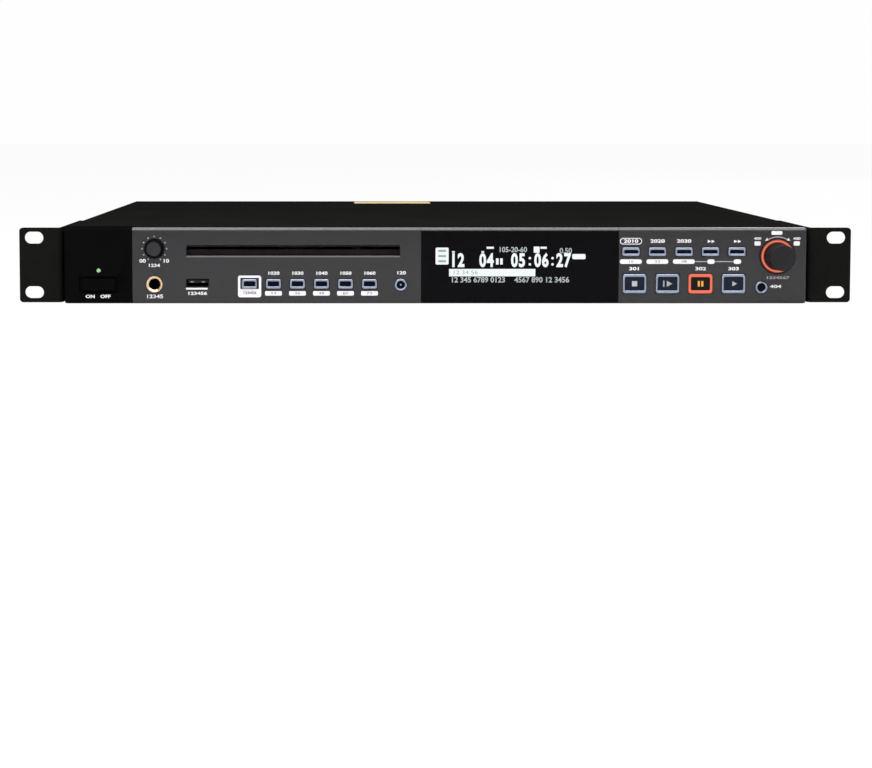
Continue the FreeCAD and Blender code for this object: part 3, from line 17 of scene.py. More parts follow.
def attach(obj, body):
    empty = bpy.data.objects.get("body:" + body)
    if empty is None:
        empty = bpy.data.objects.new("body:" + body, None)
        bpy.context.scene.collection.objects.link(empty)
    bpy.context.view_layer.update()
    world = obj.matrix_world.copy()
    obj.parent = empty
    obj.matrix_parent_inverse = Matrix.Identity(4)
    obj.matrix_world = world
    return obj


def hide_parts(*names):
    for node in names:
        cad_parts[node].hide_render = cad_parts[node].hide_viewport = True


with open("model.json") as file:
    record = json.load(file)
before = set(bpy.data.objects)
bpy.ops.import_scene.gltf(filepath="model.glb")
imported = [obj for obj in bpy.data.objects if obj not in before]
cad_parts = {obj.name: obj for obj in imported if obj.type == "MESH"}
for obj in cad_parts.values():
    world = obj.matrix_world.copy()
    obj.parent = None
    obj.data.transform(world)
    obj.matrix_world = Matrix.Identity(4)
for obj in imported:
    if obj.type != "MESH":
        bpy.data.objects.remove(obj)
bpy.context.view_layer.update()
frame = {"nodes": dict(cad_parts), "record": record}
NODES = frame["nodes"]
BODY_OF = {node: body for body, members in frame["record"]["behaviour"]["bodies"].items() for node in members}
MM = 0.001
CASE_HEIGHT = 44.0
FRONT = -6.0
REAR = 278.0


def up(height):
    return (height - CASE_HEIGHT / 2) * MM


# %% [markdown]
# ## Colours and nodes
#
# A colour is picked on a screen as a hex value, and the renderer works in linear light, so one
# function turns the first into the second. A material is a small graph, and it could be wired node
# by node; one function that adds a node with its settings and links keeps each graph short.

# %% One function for colour and one for nodes
def linear(colour):
    channels = [int(colour[place:place + 2], 16) / 255 for place in (0, 2, 4)]
    return [c / 12.92 if c <= 0.04045 else ((c + 0.055) / 1.055) ** 2.4 for c in channels] + [1.0]


def add(tree, kind, inputs, **settings):
    made = tree.nodes.new(kind)
    for name, value in settings.items():
        setattr(made, name, value)
    for name, value in inputs.items():
        if isinstance(value, bpy.types.NodeSocket):
            tree.links.new(value, made.inputs[name])
        else:
            made.inputs[name].default_value = value
    return made


print("half grey in linear light", round(linear("808080")[0], 3))

# %% [markdown]
# ## A finish with a grain
#
# No made surface is one flat colour: paint has a fine orange peel, a moulding a spark-eroded
# texture, and rolled steel a grain along its sheet. All of them come from one graph here: a noise
# with a grain in millimetres moves the colour, the roughness and the relief a little, and a second,
# forty times as wide, adds the slow drift that handling and light leave. Stretching the grain along
# one axis makes brushed or drawn metal of it.

# %% The shared graph
FINE = 1000
WIDE = FINE // 40
RAMP_LOW, RAMP_HIGH = 0.36, 0.64
LEAST_ROUGH = 0.02
BUMP_STRENGTH = 0.6


def grained(name, colour, rough, metal=0.0, grain=0.8, stretch=(1, 1, 1), tone=0.08, relief=0.01,
            uneven=0.06, shine=0.5):
    material = bpy.data.materials.new(name)
    material.use_nodes = True
    tree = material.node_tree
    shader = tree.nodes["Principled BSDF"]
    place = add(tree, "ShaderNodeTexCoord", {}).outputs["Object"]
    along = add(tree, "ShaderNodeMapping", {"Vector": place, "Scale": stretch}).outputs["Vector"]
    fine = add(tree, "ShaderNodeTexNoise", {"Vector": along, "Scale": FINE / grain, "Detail": 3.0})
    wide = add(tree, "ShaderNodeTexNoise", {"Vector": place, "Scale": WIDE / grain, "Detail": 2.0})
    both = add(tree, "ShaderNodeMath", {0: fine.outputs["Fac"], 1: wide.outputs["Fac"]}, operation="ADD")
    mean = add(tree, "ShaderNodeMath", {0: both.outputs[0], 1: 0.5}, operation="MULTIPLY")
    ramp = add(tree, "ShaderNodeValToRGB", {"Fac": mean.outputs[0]})
    base = linear(colour)
    for stop, place_on_ramp, share in ((0, RAMP_LOW, 1 - tone), (1, RAMP_HIGH, 1 + tone)):
        ramp.color_ramp.elements[stop].position = place_on_ramp
        ramp.color_ramp.elements[stop].color = [min(1.0, c * share) for c in base[:3]] + [1.0]
    tree.links.new(ramp.outputs["Color"], shader.inputs["Base Color"])
    spread = add(tree, "ShaderNodeMapRange", {
        "Value": fine.outputs["Fac"], "To Min": max(LEAST_ROUGH, rough - uneven),
        "To Max": rough + uneven})
    tree.links.new(spread.outputs["Result"], shader.inputs["Roughness"])
    bump = add(tree, "ShaderNodeBump", {
        "Height": fine.outputs["Fac"], "Distance": relief * MM, "Strength": BUMP_STRENGTH})
    tree.links.new(bump.outputs["Normal"], shader.inputs["Normal"])
    shader.inputs["Metallic"].default_value = metal
    shader.inputs["Specular IOR Level"].default_value = shine
    return material


print("noise scales for a 1 mm grain", FINE, WIDE)

# %% [markdown]
# ## The finishes of the case and the front
#
# The cover and the ears are sheet steel under black powder: matt, rough, with a fine orange peel.
# It is seen at a very flat angle, where every smooth surface turns into a mirror, so its shine is
# left out. The front plates are painted a dark grey with a silky sheen that catches a line of
# light along their rounded top edge, and the block at the left and the window are a deeper black.

# %% Finishes seen from outside
# Powder coat on steel: black, matt, slightly pebbled, without shine at a flat angle.
powder = grained("steel_powder_coated_black", "131312", 0.8, grain=0.9, tone=0.12, relief=0.03, shine=0.0)
# Satin paint over aluminium: dark grey, silky, with a fine even grain.
satin = grained("aluminium_satin_painted", "1a1a1c", 0.18, grain=0.7, tone=0.03, relief=0.002,
                uneven=0.03, shine=0.31)
# The same paint on a rounded edge lies thicker and glossier, so the edge draws a bright line.
satin_edge = grained("aluminium_gloss_edge", "1a1a1c", 0.2, grain=0.7, tone=0.03, relief=0.002,
                     uneven=0.03, shine=0.9)
# Moulded ABS: near black, with a fine spark-eroded texture.
moulded = grained("abs_moulded_black", "09090a", 0.5, grain=0.7, tone=0.1, relief=0.01, shine=0.0)
# Cast acrylic, smoked: it looks black until something behind it is lit.
smoked = grained("acrylic_smoked", "060507", 0.15, grain=6.0, tone=0.06, relief=0.001,
                 uneven=0.03, shine=0.03)
# Steel sheet, zinc coated: pale blue-grey with a drawn grain.
zinc = grained("steel_zinc_coated", "9a9da0", 0.38, metal=1.0, grain=1.6, tone=0.12, relief=0.004)
# Nickel plate: bright, slightly warm, smooth.
nickel = grained("brass_nickel_plated", "d2ccc6", 0.2, metal=1.0, grain=1.5, tone=0.05, relief=0.002,
                 uneven=0.04)
# Bright steel screws: their turned heads keep a fine grain.
bright = grained("steel_turned_bright", "b9b8b8", 0.28, metal=1.0, grain=0.5, tone=0.1, relief=0.004)
# Gold plate over nickel: pale and warm.
gold = grained("brass_gold_plated", "cdb190", 0.25, metal=1.0, grain=1.2, tone=0.05, relief=0.002,
               uneven=0.04)
# Vacuum-metallised frame round a key: blue-grey where it faces the room, white where it faces up.
metallised = grained("abs_metallised_silver", "7d8496", 0.24, metal=1.0, grain=1.4, tone=0.05, relief=0.002)
# Translucent key cap: navy, nearly black, satin. A large cap is a lighter blue.
key_cap = grained("polycarbonate_key_navy", "03050c", 0.34, grain=0.8, tone=0.12, relief=0.006, shine=0.04)
key_cap_large = grained("polycarbonate_key_blue", "0f1722", 0.34, grain=0.8, tone=0.14, relief=0.006,
                        shine=0.08)
# The same cap over an amber lamp: its dark brown is painted amber glow of that lamp.
key_cap_painted_glow = grained("polycarbonate_key_painted_amber_glow", "0e0504", 0.34, grain=0.8, tone=0.12, relief=0.006,
                       shine=0.1)
# Soft-touch lacquer of the jog knob: rubbery and matt, a little paler than the plastic round it.
soft_touch = grained("abs_soft_touch_grey", "19181b", 0.5, grain=0.6, tone=0.1, relief=0.01, shine=0.12)
# The level knob's grooved rim: black, darkened further with painted shade of its sides and the shadow round
# them, and without shine.
knob_rim_shaded = grained("abs_knob_rim_painted_shade", "07070a", 0.6, grain=0.6, tone=0.1, relief=0.01, shine=0.03)
# The same knob's turned face, paler and silky.
knob_face = grained("abs_knob_face_grey", "242427", 0.5, grain=0.6, tone=0.1, relief=0.01, shine=0.15)
# Screen print: opaque ink with a slightly rough edge and body.
white_ink = grained("ink_screen_printed_white", "d4d0d3", 0.55, grain=0.5, tone=0.05, relief=0.006,
                    shine=0.2)
pale_ink = grained("ink_screen_printed_pale", "9a999e", 0.55, grain=0.5, tone=0.05, relief=0.006, shine=0.2)
grey_ink = grained("ink_screen_printed_grey", "8d8c90", 0.55, grain=0.5, tone=0.08, relief=0.006, shine=0.2)
dark_ink = grained("ink_screen_printed_dark", "5d5658", 0.55, grain=0.5, tone=0.08, relief=0.006, shine=0.2)
# A label of coated paper, pale yellow.
label_paper = grained("paper_label_yellow", "b3a06c", 0.6, grain=0.6, tone=0.06, relief=0.004, shine=0.2)
# Rear panel: steel with a warm black coat, slightly glossier than the cover.
rear_coat = grained("steel_coated_warm_black", "2a2925", 0.5, grain=0.9, tone=0.1, relief=0.02, shine=0.1)
# The tray's sheet, painted a cool dark grey outside.
tray_coat = grained("steel_coated_cool_grey", "39373d", 0.5, grain=0.9, tone=0.1, relief=0.02, shine=0.15)
# Black thermoplastic of the sockets, and the deep holes in them.
socket_black = grained("nylon_moulded_black", "121113", 0.5, grain=0.6, tone=0.12, relief=0.01,
                       shine=0.08)
socket_brown = grained("phenolic_moulded_brown", "241d18", 0.5, grain=0.6, tone=0.12, relief=0.01,
                       shine=0.1)
socket_violet = grained("zinc_alloy_cast_grey", "6a666e", 0.4, metal=0.6, grain=0.8, tone=0.1, relief=0.01)
socket_grey = grained("pbt_glass_filled_grey", "4c4b50", 0.5, grain=0.6, tone=0.1, relief=0.01, shine=0.25)
insulator_grey = grained("pbt_moulded_grey", "55535a", 0.45, grain=0.5, tone=0.08, relief=0.006, shine=0.2)
insulator_white = grained("pbt_moulded_white", "dedbd8", 0.4, grain=0.5, tone=0.04, relief=0.004, shine=0.3)
insulator_red = grained("pbt_moulded_red", "c8453f", 0.4, grain=0.5, tone=0.06, relief=0.004, shine=0.3)
insulator_orange = grained("pbt_moulded_orange", "e08a4c", 0.4, grain=0.5, tone=0.06, relief=0.004,
                           shine=0.3)
felt = grained("felt_pressed_black", "261d1f", 0.95, grain=0.4, tone=0.25, relief=0.08, shine=0.05)
# The gap round the lit key: dark red as painted glow of the key's light caught in it.
gap_painted_glow = grained("abs_gap_painted_red_glow", "2a0c08", 0.5, grain=0.5, tone=0.1, relief=0.004, shine=0.05)
print("finishes", len(bpy.data.materials))

# %% [markdown]
# ## What is lit
#
# The display, the power light, the ring round the jog knob and the frame of one key give light.
# Such a piece could be a lamp behind clear plastic; an emitting surface gives the same look for far
# less rendering. Its own colour is dark, so that what is seen is only what it sends out. The ring
# is brightest along its middle, where its diffuser is thin, and dark red at both rims, so its glow
# is read from the distance to the knob's axis.

# %% Emitting finishes
UNLIT = (0.02, 0.02, 0.02, 1)


def glowing(name, colour, strength, tone=0.08):
    material = grained(name, colour, 0.4, grain=0.7, tone=tone, relief=0.004, shine=0.1)
    tree = material.node_tree
    shader = tree.nodes["Principled BSDF"]
    link = shader.inputs["Base Color"].links[0]
    tree.links.new(link.from_socket, shader.inputs["Emission Color"])
    tree.links.remove(link)
    shader.inputs["Base Color"].default_value = UNLIT
    shader.inputs["Emission Strength"].default_value = strength
    return material


def ring_glow(name, centre, inner, outer, colours, strength):
    material = glowing(name, colours[1], strength)
    tree = material.node_tree
    shader = tree.nodes["Principled BSDF"]
    place = add(tree, "ShaderNodeTexCoord", {}).outputs["Object"]
    flat = add(tree, "ShaderNodeVectorMath", {0: place, 1: (1, 0, 1)}, operation="MULTIPLY").outputs[0]
    reach = add(tree, "ShaderNodeVectorMath", {0: flat, 1: centre}, operation="DISTANCE").outputs["Value"]
    share = add(tree, "ShaderNodeMapRange", {"Value": reach, "From Min": inner, "From Max": outer})
    ramp = add(tree, "ShaderNodeValToRGB", {"Fac": share.outputs["Result"]})
    stops = ramp.color_ramp.elements
    stops[0].color = linear(colours[0])
    stops[1].color = linear(colours[0])
    for position, colour in ((0.22, colours[1]), (0.5, colours[2]), (0.78, colours[1])):
        stops.new(position).color = linear(colour)
    tree.links.new(ramp.outputs["Color"], shader.inputs["Emission Color"])
    return material


JOG = (197.4, 27.5)
JOG_RING_INNER = 7.75
JOG_RING_OUTER = 9.7
jog_glow = ring_glow("acrylic_lit_orange", (JOG[0] * MM, 0, up(JOG[1])), JOG_RING_INNER * MM,
                     JOG_RING_OUTER * MM, ("300a06", "c44224", "f08a68"), 0.95)
pause_glow = glowing("acrylic_lit_salmon", "ea6c4e", 1.0)
amber_glow = glowing("symbol_lit_amber", "f0a848", 1.0)
display_glow = glowing("display_lit_white", "f0f6f6", 1.0, tone=0.03)
display_dim = glowing("display_lit_grey", "b4bebe", 0.9, tone=0.15)
display_shade = glowing("display_lit_shaded", "9fb0ae", 0.9, tone=0.1)
power_glow = glowing("diode_lit_green", "a6dc96", 0.95)
display_dark = grained("display_glass_dark", "0c0c0e", 0.2, grain=5.0, tone=0.05, relief=0.001, shine=0.1)
print("lit finishes", sum("_lit_" in material.name for material in bpy.data.materials))


# %% [markdown]
# ## From a solid to a piece
#
# A machined solid has perfectly sharp edges, and no real one does: a small round along each edge
# catches the light and tells the eye that the piece is solid. The rounds could be modelled one by
# one, but a Bevel modifier finds every sharp edge by its angle. It needs a clean mesh, so the
# frame's loose triangles are merged first, and triangles in one plane are dissolved into one face.

# %% Copies of the solids, merged and softened
WELD = 0.002
FLAT = math.radians(0.5)
SHARP = math.radians(32)


def merged(name):
    mesh = bmesh.new()
    mesh.from_mesh(NODES[name].data)
    bmesh.ops.remove_doubles(mesh, verts=mesh.verts, dist=WELD * MM)
    bmesh.ops.dissolve_limit(mesh, angle_limit=FLAT, verts=mesh.verts, edges=mesh.edges)
    return mesh


def finished(name, mesh, materials, body="case", stands_for=(), soft=0.0, clamp=True):
    data = bpy.data.meshes.new(name)
    mesh.to_mesh(data)
    mesh.free()
    data.shade_smooth()
    data.set_sharp_from_angle(angle=SHARP)
    for material in materials:
        data.materials.append(material)
    piece = bpy.data.objects.new(name, data)
    bpy.context.scene.collection.objects.link(piece)
    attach(piece, body)
    if stands_for:
        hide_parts(*stands_for)
    if soft:
        bevel = piece.modifiers.new("soft_edges", "BEVEL")
        bevel.width = soft * MM
        bevel.segments = 2 if clamp else 3
        bevel.limit_method = "ANGLE"
        bevel.angle_limit = SHARP
        bevel.use_clamp_overlap = clamp
        shading = piece.modifiers.new("even_shading", "WEIGHTED_NORMAL")
        shading.keep_sharp = True
    return piece


def carried(node, materials, soft=0.0, pick=None, more=None, clamp=True):
    mesh = merged(node)
    if pick:
        for face in mesh.faces:
            centre = face.calc_center_median() / MM
            face.material_index = pick(centre.x, centre.y, centre.z + CASE_HEIGHT / 2, face.normal)
    if more:
        more(mesh)
    return finished(node + "_made", mesh, materials, BODY_OF[node], (node,), soft, clamp)


print("solids to dress", len(NODES))

# %% [markdown]
# ## The case
#
# The cover is one sheet bent over both sides, and the ears are plates bent back along the case.
# Their solids already have the bends, so only the cut edges are softened here.

# %% Cover, tray, rear panel and ears
TRAY_SIDE = 214


def tray_side(x, y, height, normal):
    return 1 if y > REAR - 1.5 or height < 0.3 or abs(x) > TRAY_SIDE else 0


carried("top_cover", [powder], soft=0.2)
carried("chassis_tray", [zinc, tray_coat], soft=0.2, pick=tray_side)
carried("rear_panel", [rear_coat], soft=0.15)
for side in ("left", "right"):
    carried("rack_ear_" + side, [powder], soft=0.25)
carried("case_screws", [bright], soft=0.12)
print("case pieces done")


# %% [markdown]
# ## The front
#
# Two painted plates, the black block at the left and the window between them stand in one plane.
# Each has its rounded outer edge in the solid, so only the cut edges get a soft edge here. The
# window's top edge is painted like the plates, so that their line of light runs on across it.

# %% Bezel, plates, window and power light
EDGE_ROUND = 1.8


def top_edge(x, y, height, normal):
    return 1 if height > CASE_HEIGHT - EDGE_ROUND else 0


carried("bezel", [moulded], soft=0.0)
for side in ("left", "right"):
    carried("front_plate_" + side, [satin, satin_edge], soft=0.12, pick=top_edge)
carried("display_window", [smoked, satin_edge], soft=0.12, pick=top_edge)
carried("power_light", [power_glow], soft=0.3)
print("front pieces done")


# %% [markdown]
# ## Flat shapes
#
# Prints, symbols and inlays are flat shapes a few hundredths of a millimetre thick. They could be
# painted in a texture, but then they would be gone from the mesh. A raised shape starts as one face
# from its corners, is extruded, and may get its upright edges bevelled round. A hollowed one has
# its two faces inset and bridged into a hole, and a round one is a small profile spun about an axis.

# %% Raised, hollowed and spun shapes
def raised(mesh, outline, front, back, corner=0.0, ink=0):
    before = set(mesh.faces)
    verts = [mesh.verts.new((x * MM, back * MM, up(height))) for x, height in outline]
    face = bmesh.ops.contextual_create(mesh, geom=verts)["faces"][0]
    moved = bmesh.ops.extrude_face_region(mesh, geom=[face])["geom"]
    fronts = [item for item in moved if isinstance(item, bmesh.types.BMVert)]
    bmesh.ops.translate(mesh, vec=(0, (front - back) * MM, 0), verts=fronts)
    if corner:
        along = [edge for edge in {e for v in verts for e in v.link_edges} if set(edge.verts) & set(fronts)]
        bmesh.ops.bevel(mesh, geom=along, offset=corner * MM, affect="EDGES", segments=5, profile=0.5,
                        material=-1)
    made = [face for face in mesh.faces if face not in before]
    bmesh.ops.recalc_face_normals(mesh, faces=made)
    for face in made:
        face.material_index = ink
    return made


def slab(mesh, x, height, width, tall, front, back, corner=0.0, ink=0):
    left, right, low, high = x - width / 2, x + width / 2, height - tall / 2, height + tall / 2
    outline = ((left, low), (right, low), (right, high), (left, high))
    return raised(mesh, outline, front, back, min(corner, 0.49 * width, 0.49 * tall), ink)


def hollowed(mesh, made, line, ink=0):
    ends = [face for face in made if abs(face.normal.y) > 0.9]
    bmesh.ops.inset_region(mesh, faces=ends, thickness=line * MM, use_even_offset=True)
    edges = [edge for face in ends for edge in face.edges]
    bmesh.ops.delete(mesh, geom=ends, context="FACES_ONLY")
    walls = bmesh.ops.bridge_loops(mesh, edges=edges)["faces"]
    for face in walls:
        face.material_index = ink
    near = {face for wall in walls for vert in wall.verts for face in vert.link_faces}
    bmesh.ops.recalc_face_normals(mesh, faces=list(near))


def framed(mesh, x, height, width, tall, front, back, corner, line, ink=0):
    hollowed(mesh, slab(mesh, x, height, width, tall, front, back, corner, ink), line, ink)


def facing(x, height, y):
    return Matrix.Translation((x * MM, y * MM, up(height))) @ Matrix.Rotation(math.pi / 2, 4, "X")


def disc(mesh, x, height, radius, front, back, ink=0, segments=24):
    before = set(mesh.faces)
    turn = facing(x, height, (front + back) / 2)
    bmesh.ops.create_cone(mesh, cap_ends=True, segments=segments, radius1=radius * MM, radius2=radius * MM,
                          depth=(back - front) * MM, matrix=turn)
    for face in mesh.faces:
        if face not in before:
            face.material_index = ink


def spun(mesh, x, height, profile, ink=0, steps=48, start=0, turn=360):
    before = set(mesh.faces)
    known = set(mesh.edges)
    from_here = Matrix.Rotation(math.radians(-start), 3, "Y")
    centre = Vector((x * MM, 0, up(height)))
    verts = [mesh.verts.new(centre + from_here @ Vector((reach * MM, y * MM, 0))) for reach, y in profile]
    edges = [mesh.edges.new((verts[i], verts[(i + 1) % len(verts)])) for i in range(len(verts))]
    bmesh.ops.spin(mesh, geom=verts + edges, cent=centre, axis=(0, 1, 0), angle=math.radians(-turn),
                   steps=steps, use_merge=turn == 360)
    if turn < 360:
        ends = [edge for edge in mesh.edges if edge not in known and len(edge.link_faces) == 1]
        bmesh.ops.holes_fill(mesh, edges=ends, sides=len(profile))
    made = [face for face in mesh.faces if face not in before]
    bmesh.ops.recalc_face_normals(mesh, faces=made)
    for face in made:
        face.material_index = ink


def ring(mesh, x, height, inner, outer, front, back, ink=0, steps=48, start=0, turn=360):
    profile = ((inner, front), (outer, front), (outer, back), (inner, back))
    spun(mesh, x, height, profile, ink, steps, start, turn)


NUMERAL_THICK = 0.03
NUMERAL_WELD = 0.001


def numeral(mesh, text, x, height, size, front, ink=0, bold=0.0, behind=False, wide=1.0):
    curve = bpy.data.curves.new("numeral", "FONT")
    curve.body = text
    curve.size = size * MM
    curve.align_x = "CENTER"
    curve.align_y = "CENTER"
    curve.extrude = NUMERAL_THICK / 2 * MM
    curve.offset = bold * MM
    curve.resolution_u = 3
    holder = bpy.data.objects.new("numeral", curve)
    drawn = bpy.data.meshes.new_from_object(holder)
    stand = Matrix.Rotation(math.pi / 2, 4, "X")
    if behind:
        stand = Matrix.Rotation(math.pi, 4, "Z") @ stand
    place = Matrix.Translation((x * MM, front * MM, up(height)))
    drawn.transform(place @ stand @ Matrix.Diagonal((wide, 1, 1, 1)))
    before = set(mesh.faces)
    known = set(mesh.verts)
    mesh.from_mesh(drawn)
    for face in mesh.faces:
        if face not in before:
            face.material_index = ink
    fresh = [vert for vert in mesh.verts if vert not in known]
    bmesh.ops.remove_doubles(mesh, verts=fresh, dist=NUMERAL_WELD * MM)
    bpy.data.meshes.remove(drawn)
    bpy.data.objects.remove(holder)
    bpy.data.curves.remove(curve)


print("shapes: raised, slab, hollowed, framed, disc, spun, ring, numeral")


# %% [markdown]
# ## The slot's felt
#
# Two strips of felt line the slot, and the pile of the lower one stands up and wipes the dust off
# a disc. The pile could be thousands of hairs; at this size a low wall of tufts of uneven height
# looks the same, so a row of them stands in the lower strip.

# %% Felt with its pile
SLOT = (-143.75, -20.45)
SLOT_LOW = 27.9
PILE_TIP = 31.1
PILE_FRONT = -2.5
PILE_STEP = 1.1


def pile(mesh):
    count = int((SLOT[1] - SLOT[0]) / PILE_STEP)
    pitch = (SLOT[1] - SLOT[0]) / count
    for step in range(count):
        x = SLOT[0] + (step + 0.5) * pitch
        drift = 0.12 * math.sin(step * 2.4)
        foot, tip = SLOT_LOW + 0.1, PILE_TIP + drift
        slab(mesh, x, (foot + tip) / 2, pitch - 0.02, tip - foot, PILE_FRONT + drift, PILE_FRONT + 1.0)


carried("slot_felts", [felt], more=pile)
print("felt done")

# %% [markdown]
# ## Keys and their frames
#
# Each key is a dark cap in a bright metallised frame. The frames stand 0.8 mm proud and the caps
# 0.5 mm, and the wide soft edge of a frame draws the bright line round the cap. The Bevel modifier
# would shrink that edge to fit the short steps of a frame's corner arcs, so its clamp is off here.
# Plain marks lie on the large caps: a square, a bar with a triangle, two bars and a triangle.

# %% Frames and caps
KEY_FACE = FRONT - 0.5
MARK_OUT = 0.04
MARK_IN = 0.05
KEY_PITCH = 19.05
KEY_LEVEL = 11.6
KEY_FIRST = 115.0
carried("key_frames", [metallised], soft=0.55, clamp=False)
carried("pause_frame", [pause_glow], soft=0.55, clamp=False)


def wedge(mesh, x, height, width, tall, front, back, ink=0):
    before = set(mesh.faces)
    turn = facing(x, height, (front + back) / 2)
    grow = Matrix.Diagonal((width / 1.5, tall / math.sqrt(3), 1, 1))
    bmesh.ops.create_cone(mesh, cap_ends=True, segments=3, radius1=MM, radius2=MM, depth=(back - front) * MM,
                          matrix=turn @ grow @ Matrix.Rotation(-math.pi / 2, 4, "Z"))
    for face in mesh.faces:
        if face not in before:
            face.material_index = ink


def on_cap(x, draw):
    def marks(mesh):
        for face in mesh.faces:
            face.material_index = 0
        draw(mesh, x, KEY_FACE - MARK_OUT, KEY_FACE + MARK_IN)
    return marks


def square_mark(mesh, x, front, back):
    slab(mesh, x, KEY_LEVEL, 3.0, 3.0, front, back, ink=1)


def cue_mark(mesh, x, front, back):
    slab(mesh, x - 2.2, KEY_LEVEL, 0.8, 3.6, front, back, ink=1)
    wedge(mesh, x + 0.6, KEY_LEVEL, 3.2, 3.6, front, back, ink=1)


def pause_mark(mesh, x, front, back):
    for step in (-1, 1):
        slab(mesh, x + step * 1.0, KEY_LEVEL, 1.2, 3.2, front, back, ink=1)


def play_mark(mesh, x, front, back):
    wedge(mesh, x + 0.2, KEY_LEVEL, 2.7, 2.9, front, back, ink=1)


def dot_mark(mesh):
    places = [vert.co / MM for vert in mesh.verts]
    x, y, z = [(min(p[axis] for p in places), max(p[axis] for p in places)) for axis in range(3)]
    for face in mesh.faces:
        face.material_index = 0
    height = sum(z) / 2 + CASE_HEIGHT / 2
    disc(mesh, sum(x) / 2, height, 0.5, y[0] - MARK_OUT, y[0] + MARK_IN, ink=1, segments=12)


marks = (
    ("stop_key", square_mark, key_cap_large, pale_ink),
    ("cue_key", cue_mark, key_cap_large, grey_ink),
    # The pause key's cap carries painted amber glow.
    ("pause_key", pause_mark, key_cap_painted_glow, amber_glow),
    ("play_key", play_mark, key_cap_large, pale_ink),
)
for index, (key, draw, cap, ink) in enumerate(marks):
    carried(key, [cap, ink], soft=0.2, more=on_cap(KEY_FIRST + index * KEY_PITCH, draw))
for row, count in (("small_key_%d", 6), ("upper_key_%d", 5)):
    for step in range(1, count + 1):
        carried(row % step, [key_cap], soft=0.2)
carried("back_key", [key_cap], soft=0.25)
carried("eject_key", [key_cap, grey_ink], soft=0.25, more=dot_mark)
carried("power_key", [moulded], soft=0.3)
print("keys done")

# %% [markdown]
# ## Knobs, jack and port
#
# The knobs are turned shapes with fine grooves. Their solids have the grooves, so they only need
# softer edges, and the low knob's face is a little paler than its rim. The headphone jack is held
# by a gold-plated ring nut whose mouth slopes inward like a funnel. Such a ring is best spun: its
# small section turned round the jack's axis, after the solid's flat front is pulled back under it.

# %% Knobs, lit ring, jack and port
JACK = (-162.2, 11.3)
LEVEL = (-162.2, 31.85)
PORT = (-137.4, 12.0)
RING_SECTION = ((4.75, FRONT + 0.02), (4.75, FRONT - 0.7), (4.6, FRONT - 0.95), (4.35, FRONT - 1.0),
                (4.1, FRONT - 0.9), (3.35, FRONT - 0.15), (3.3, FRONT + 0.09))


def islands(mesh):
    left = set(mesh.verts)
    while left:
        group = {left.pop()}
        reach = list(group)
        while reach:
            for edge in reach.pop().link_edges:
                for vert in edge.verts:
                    if vert in left:
                        left.discard(vert)
                        group.add(vert)
                        reach.append(vert)
        yield group


def near_axis(x, height, places):
    return min(math.hypot(x - place[0], height - place[1]) for place in places)


def level_face(x, y, height, normal):
    return 1 if y < FRONT - 3.5 else 0


def jack_ring(mesh):
    nut = [vert for group in list(islands(mesh)) if max(v.co.y for v in group) < (FRONT + 0.5) * MM
           for vert in group]
    bmesh.ops.delete(mesh, geom=nut, context="VERTS")
    for vert in mesh.verts:
        vert.co.y = max(vert.co.y, (FRONT + 0.1) * MM)
    for face in mesh.faces:
        face.material_index = 0
    spun(mesh, JACK[0], JACK[1], RING_SECTION, ink=1)


def port_tongue(mesh):
    for group in list(islands(mesh)):
        tongue = max(v.co.x for v in group) - min(v.co.x for v in group) < 12 * MM
        for face in {face for vert in group for face in vert.link_faces}:
            face.material_index = 1 if tongue else 0
    for side in (-1, 1):
        slab(mesh, PORT[0] + side * 3.2, PORT[1] + 0.5, 2.0, 0.6, FRONT + 1.44, FRONT + 1.5, 0.2, ink=2)


# The rim's black includes painted shade.
carried("level_knob", [knob_rim_shaded, knob_face], soft=0.2, pick=level_face)
carried("jog_knob", [soft_touch], soft=0.12)
carried("jog_light_ring", [jog_glow], soft=0.2)
carried("phones_jack", [socket_black, gold], more=jack_ring)
carried("usb_port", [socket_black, socket_brown, grey_ink], more=port_tongue)
print("controls done")


# %% [markdown]
# ## Prints on the front
#
# The legends of the front are screen printed in white and grey. Only plain numbers, transport
# marks and bare bars stand here. All of them stand 0.04 mm out of the plates, in one mesh,
# so each legend is a real shape that any view shows. The numbers are set wide and bold, because
# thin strokes would be lost at this size. A number on a bar lies a hair further out than its bar.

# %% Front prints
INK_FRONT = FRONT - 0.04
INK_BACK = FRONT + 0.02
SMALL_KEYS = [-107.4 + 13.87 * step for step in range(6)]
SMALL_BAR = 6.0
FIRST_BOX = -107.3
UPPER_KEYS = [112.8 + 15.3 * step for step in range(5)]
UPPER_LEGEND = 36.2
UPPER_BAR = 24.4
LARGE_KEYS = [KEY_FIRST + KEY_PITCH * step for step in range(4)]
front_print = bmesh.new()


def bar(x, height, width, tall, corner=0.0, ink=0):
    slab(front_print, x, height, width, tall, INK_FRONT, INK_BACK, corner, ink)


def digits(text, x, height, size, ink=0, bold=0.07, wide=1.3, lift=0.0):
    numeral(front_print, text, x, height, size, INK_FRONT - lift, ink, bold, wide=wide)


def arrow(x, height, width, tall):
    left, right = x - width / 2, x + width / 2
    outline = ((left, height - tall / 2), (left, height + tall / 2), (right, height))
    raised(front_print, outline, INK_FRONT, INK_BACK)


print("small, upper and large keys", len(SMALL_KEYS), len(UPPER_KEYS), len(LARGE_KEYS))
